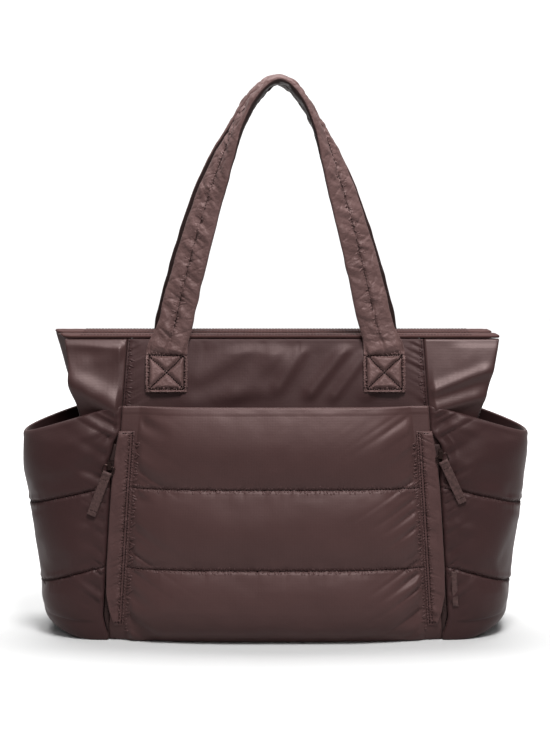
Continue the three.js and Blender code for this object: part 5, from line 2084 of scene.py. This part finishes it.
@dataclass
class BasePanel:
    """The padded base inside the body."""

    thickness: float = 4.0
    end_gap: float = 6.0
    side_gap: float = 8.0

    def build(self) -> None:
        """Builds the base as a crowned pad within its solid's box."""
        low, high = (np.array(corner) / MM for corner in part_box("base_panel"))
        u, v = np.meshgrid(np.linspace(-1, 1, 60), np.linspace(-1, 1, 30))
        half_x, half_y = high[0] - self.end_gap, (high[1] - low[1]) / 2 - self.side_gap
        x = u * np.sqrt(np.clip(1 - 0.06 * v**4, 0, 1)) * half_x
        y = (high[1] + low[1]) / 2 + v * np.sqrt(np.clip(1 - 0.2 * u**6, 0, 1)) * half_y
        top = self.thickness - 0.4 * Noise(131).field(x / 40, y / 30) ** 2
        pad("base_panel", spread(x, y, top), spread(x, y, 0.0), FINISHES.lining_and_painted_shade, edge_radius=2.0)


# Studio


@dataclass
class Studio:
    """A pale floor, soft lights and the camera of the photograph's view, in metres."""

    camera_height: float = 0.5485
    camera_distance: float = 2.2
    pitch: float = 6.94
    focal_pixels: float = 2078.0
    frame_pixels: tuple[int, int] = (550, 733)
    centre_pixel: float = 275.5
    floor_half_width: float = 1100.0
    floor_front: float = -520.0
    wall_start: float = 3300.0
    wall_radius: float = 1200.0
    wall_top: float = 4200.0
    paper: float = 0.46
    air: float = 0.1

    def build(self) -> None:
        """Builds the camera, the floor and the lights."""
        self.build_camera()
        self.build_floor()
        self.build_lights()

    def build_camera(self) -> None:
        """Makes the camera."""
        data = bpy.data.cameras.new("view_camera")
        data.sensor_width = 36.0
        data.lens = self.focal_pixels / max(self.frame_pixels) * data.sensor_width
        data.shift_x = (self.frame_pixels[0] / 2 - self.centre_pixel) / max(self.frame_pixels)
        data.clip_end = 50.0
        camera = bpy.data.objects.new("view_camera", data)
        camera.location = (0.0, -self.camera_distance, self.camera_height)
        camera.rotation_euler = (math.radians(90 - self.pitch), 0.0, 0.0)
        bpy.context.scene.collection.objects.link(camera)
        bpy.context.scene.camera = camera

    def build_floor(self) -> None:
        """Makes the floor and a wall that meets it in a wide curve."""
        turn = np.linspace(0, np.pi / 2, 16)[1:]
        wall = self.wall_start + self.wall_radius * np.sin(turn)
        y = np.concatenate([np.linspace(self.floor_front, self.wall_start, 8), wall, wall[-1:]])
        z = np.concatenate([np.zeros(8), self.wall_radius * (1 - np.cos(turn)), [self.wall_top]])
        x = np.linspace(-self.floor_half_width, self.floor_half_width, 3)
        points = spread(x, y[:, None], z[:, None] - 0.02).reshape(-1, 3)
        floor = make_object("studio_floor", points, grid_faces(len(y), 3), closed=False)
        material = bpy.data.materials.new("studio_paper")
        material.use_nodes = True
        shader = material.node_tree.nodes["Principled BSDF"]
        shader.inputs["Base Color"].default_value = (self.paper, self.paper, self.paper, 1.0)
        shader.inputs["Roughness"].default_value = 0.9
        floor.data.materials.append(material)
        floor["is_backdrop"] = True

    def build_lights(self) -> None:
        """Makes the soft lights and the pale surroundings."""
        world = bpy.data.worlds.new("studio_air")
        world.use_nodes = True
        air = world.node_tree.nodes["Background"].inputs
        air["Color"].default_value = (1.0, 1.0, 1.0, 1.0)
        air["Strength"].default_value = self.air
        bpy.context.scene.world = world
        bpy.context.scene.view_settings.view_transform = "Standard"
        lamps = (
            ("top_light", (0.25, -1.05, 2.1), (0.0, 0.0, 0.3), 0.7, 68.0),
            ("front_light", (0.3, -2.6, 1.2), (0.0, 0.0, 0.3), 0.6, 12.0),
            ("left_light", (-1.9, -0.5, 1.3), (0.0, 0.0, 0.35), 0.4, 3.5),
            ("right_light", (1.9, -0.3, 1.3), (0.0, 0.0, 0.35), 0.4, 3.0),
            ("wall_light", (0.0, 1.0, 2.8), (0.0, 3.4, 0.8), 2.5, 370.0),
        )
        for name, place, target, size, power in lamps:
            data = bpy.data.lights.new(name, "AREA")
            data.size = size
            data.energy = power
            lamp = bpy.data.objects.new(name, data)
            lamp.location = place
            away = np.array(place) - np.array(target)
            flat = math.hypot(away[0], away[1])
            lamp.rotation_euler = (math.atan2(flat, away[2]), 0.0, math.atan2(away[1], away[0]) + math.pi / 2)
            bpy.context.scene.collection.objects.link(lamp)


def corners() -> list[list[float]]:
    """Lowest and highest corner of what is shown, as plain lists."""
    return [[round(float(v), 5) for v in corner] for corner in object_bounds()]


def main() -> None:
    """Builds the studio, then the bag from its body outwards."""
    logging.basicConfig(level=logging.INFO, format="%(name)s %(message)s")
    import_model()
    Studio().build()
    left, right = WingShares(0.877, 1.097), WingShares(1.058, 0.968)
    FrontPanel().build()
    BackPanel().build()
    BasePanel().build()
    FrontPocket().build()
    left_creases = (
        Crease((216, 315), (146, 305), 9.0, 3.6),
        Crease((209, 268), (146, 236), 14.0, 7.5),
        Crease((196, 290), (150, 301), 9.0, 1.8),
    )
    right_creases = (
        Crease((165, 262), (217, 281), 6.5, 4.2),
        Crease((165, 270), (217, 290), 20.0, 2.6),
        Crease((170, 245), (208, 254), 8.0, 5.0),
    )
    SidePanel(End.LEFT, left, left_creases).build()
    SidePanel(End.RIGHT, right, right_creases).build()
    for end in End:
        SidePocket(end).build()
        SideZip(end).build()
        Placket(end).build()
    for end, lean in ((End.LEFT, -21.0), (End.RIGHT, 25.0)):
        node = f"side_zip_{{}}_{end.label}"
        PullSet(node, f"side_zip_{end.label}", length=47.0, axes=hanging(lean)).build()
    SeamLabel().build()
    Closure(left, right).build()
    PullSet("closure_{}", "closure", length=22.0, axes=LYING).build()
    Handle("front", side=-1, half_span=107.5, lean=4.5).build()
    Handle("back", side=1, half_span=114.0, lean=0.0).build()


if __name__ == "__main__":
    main()
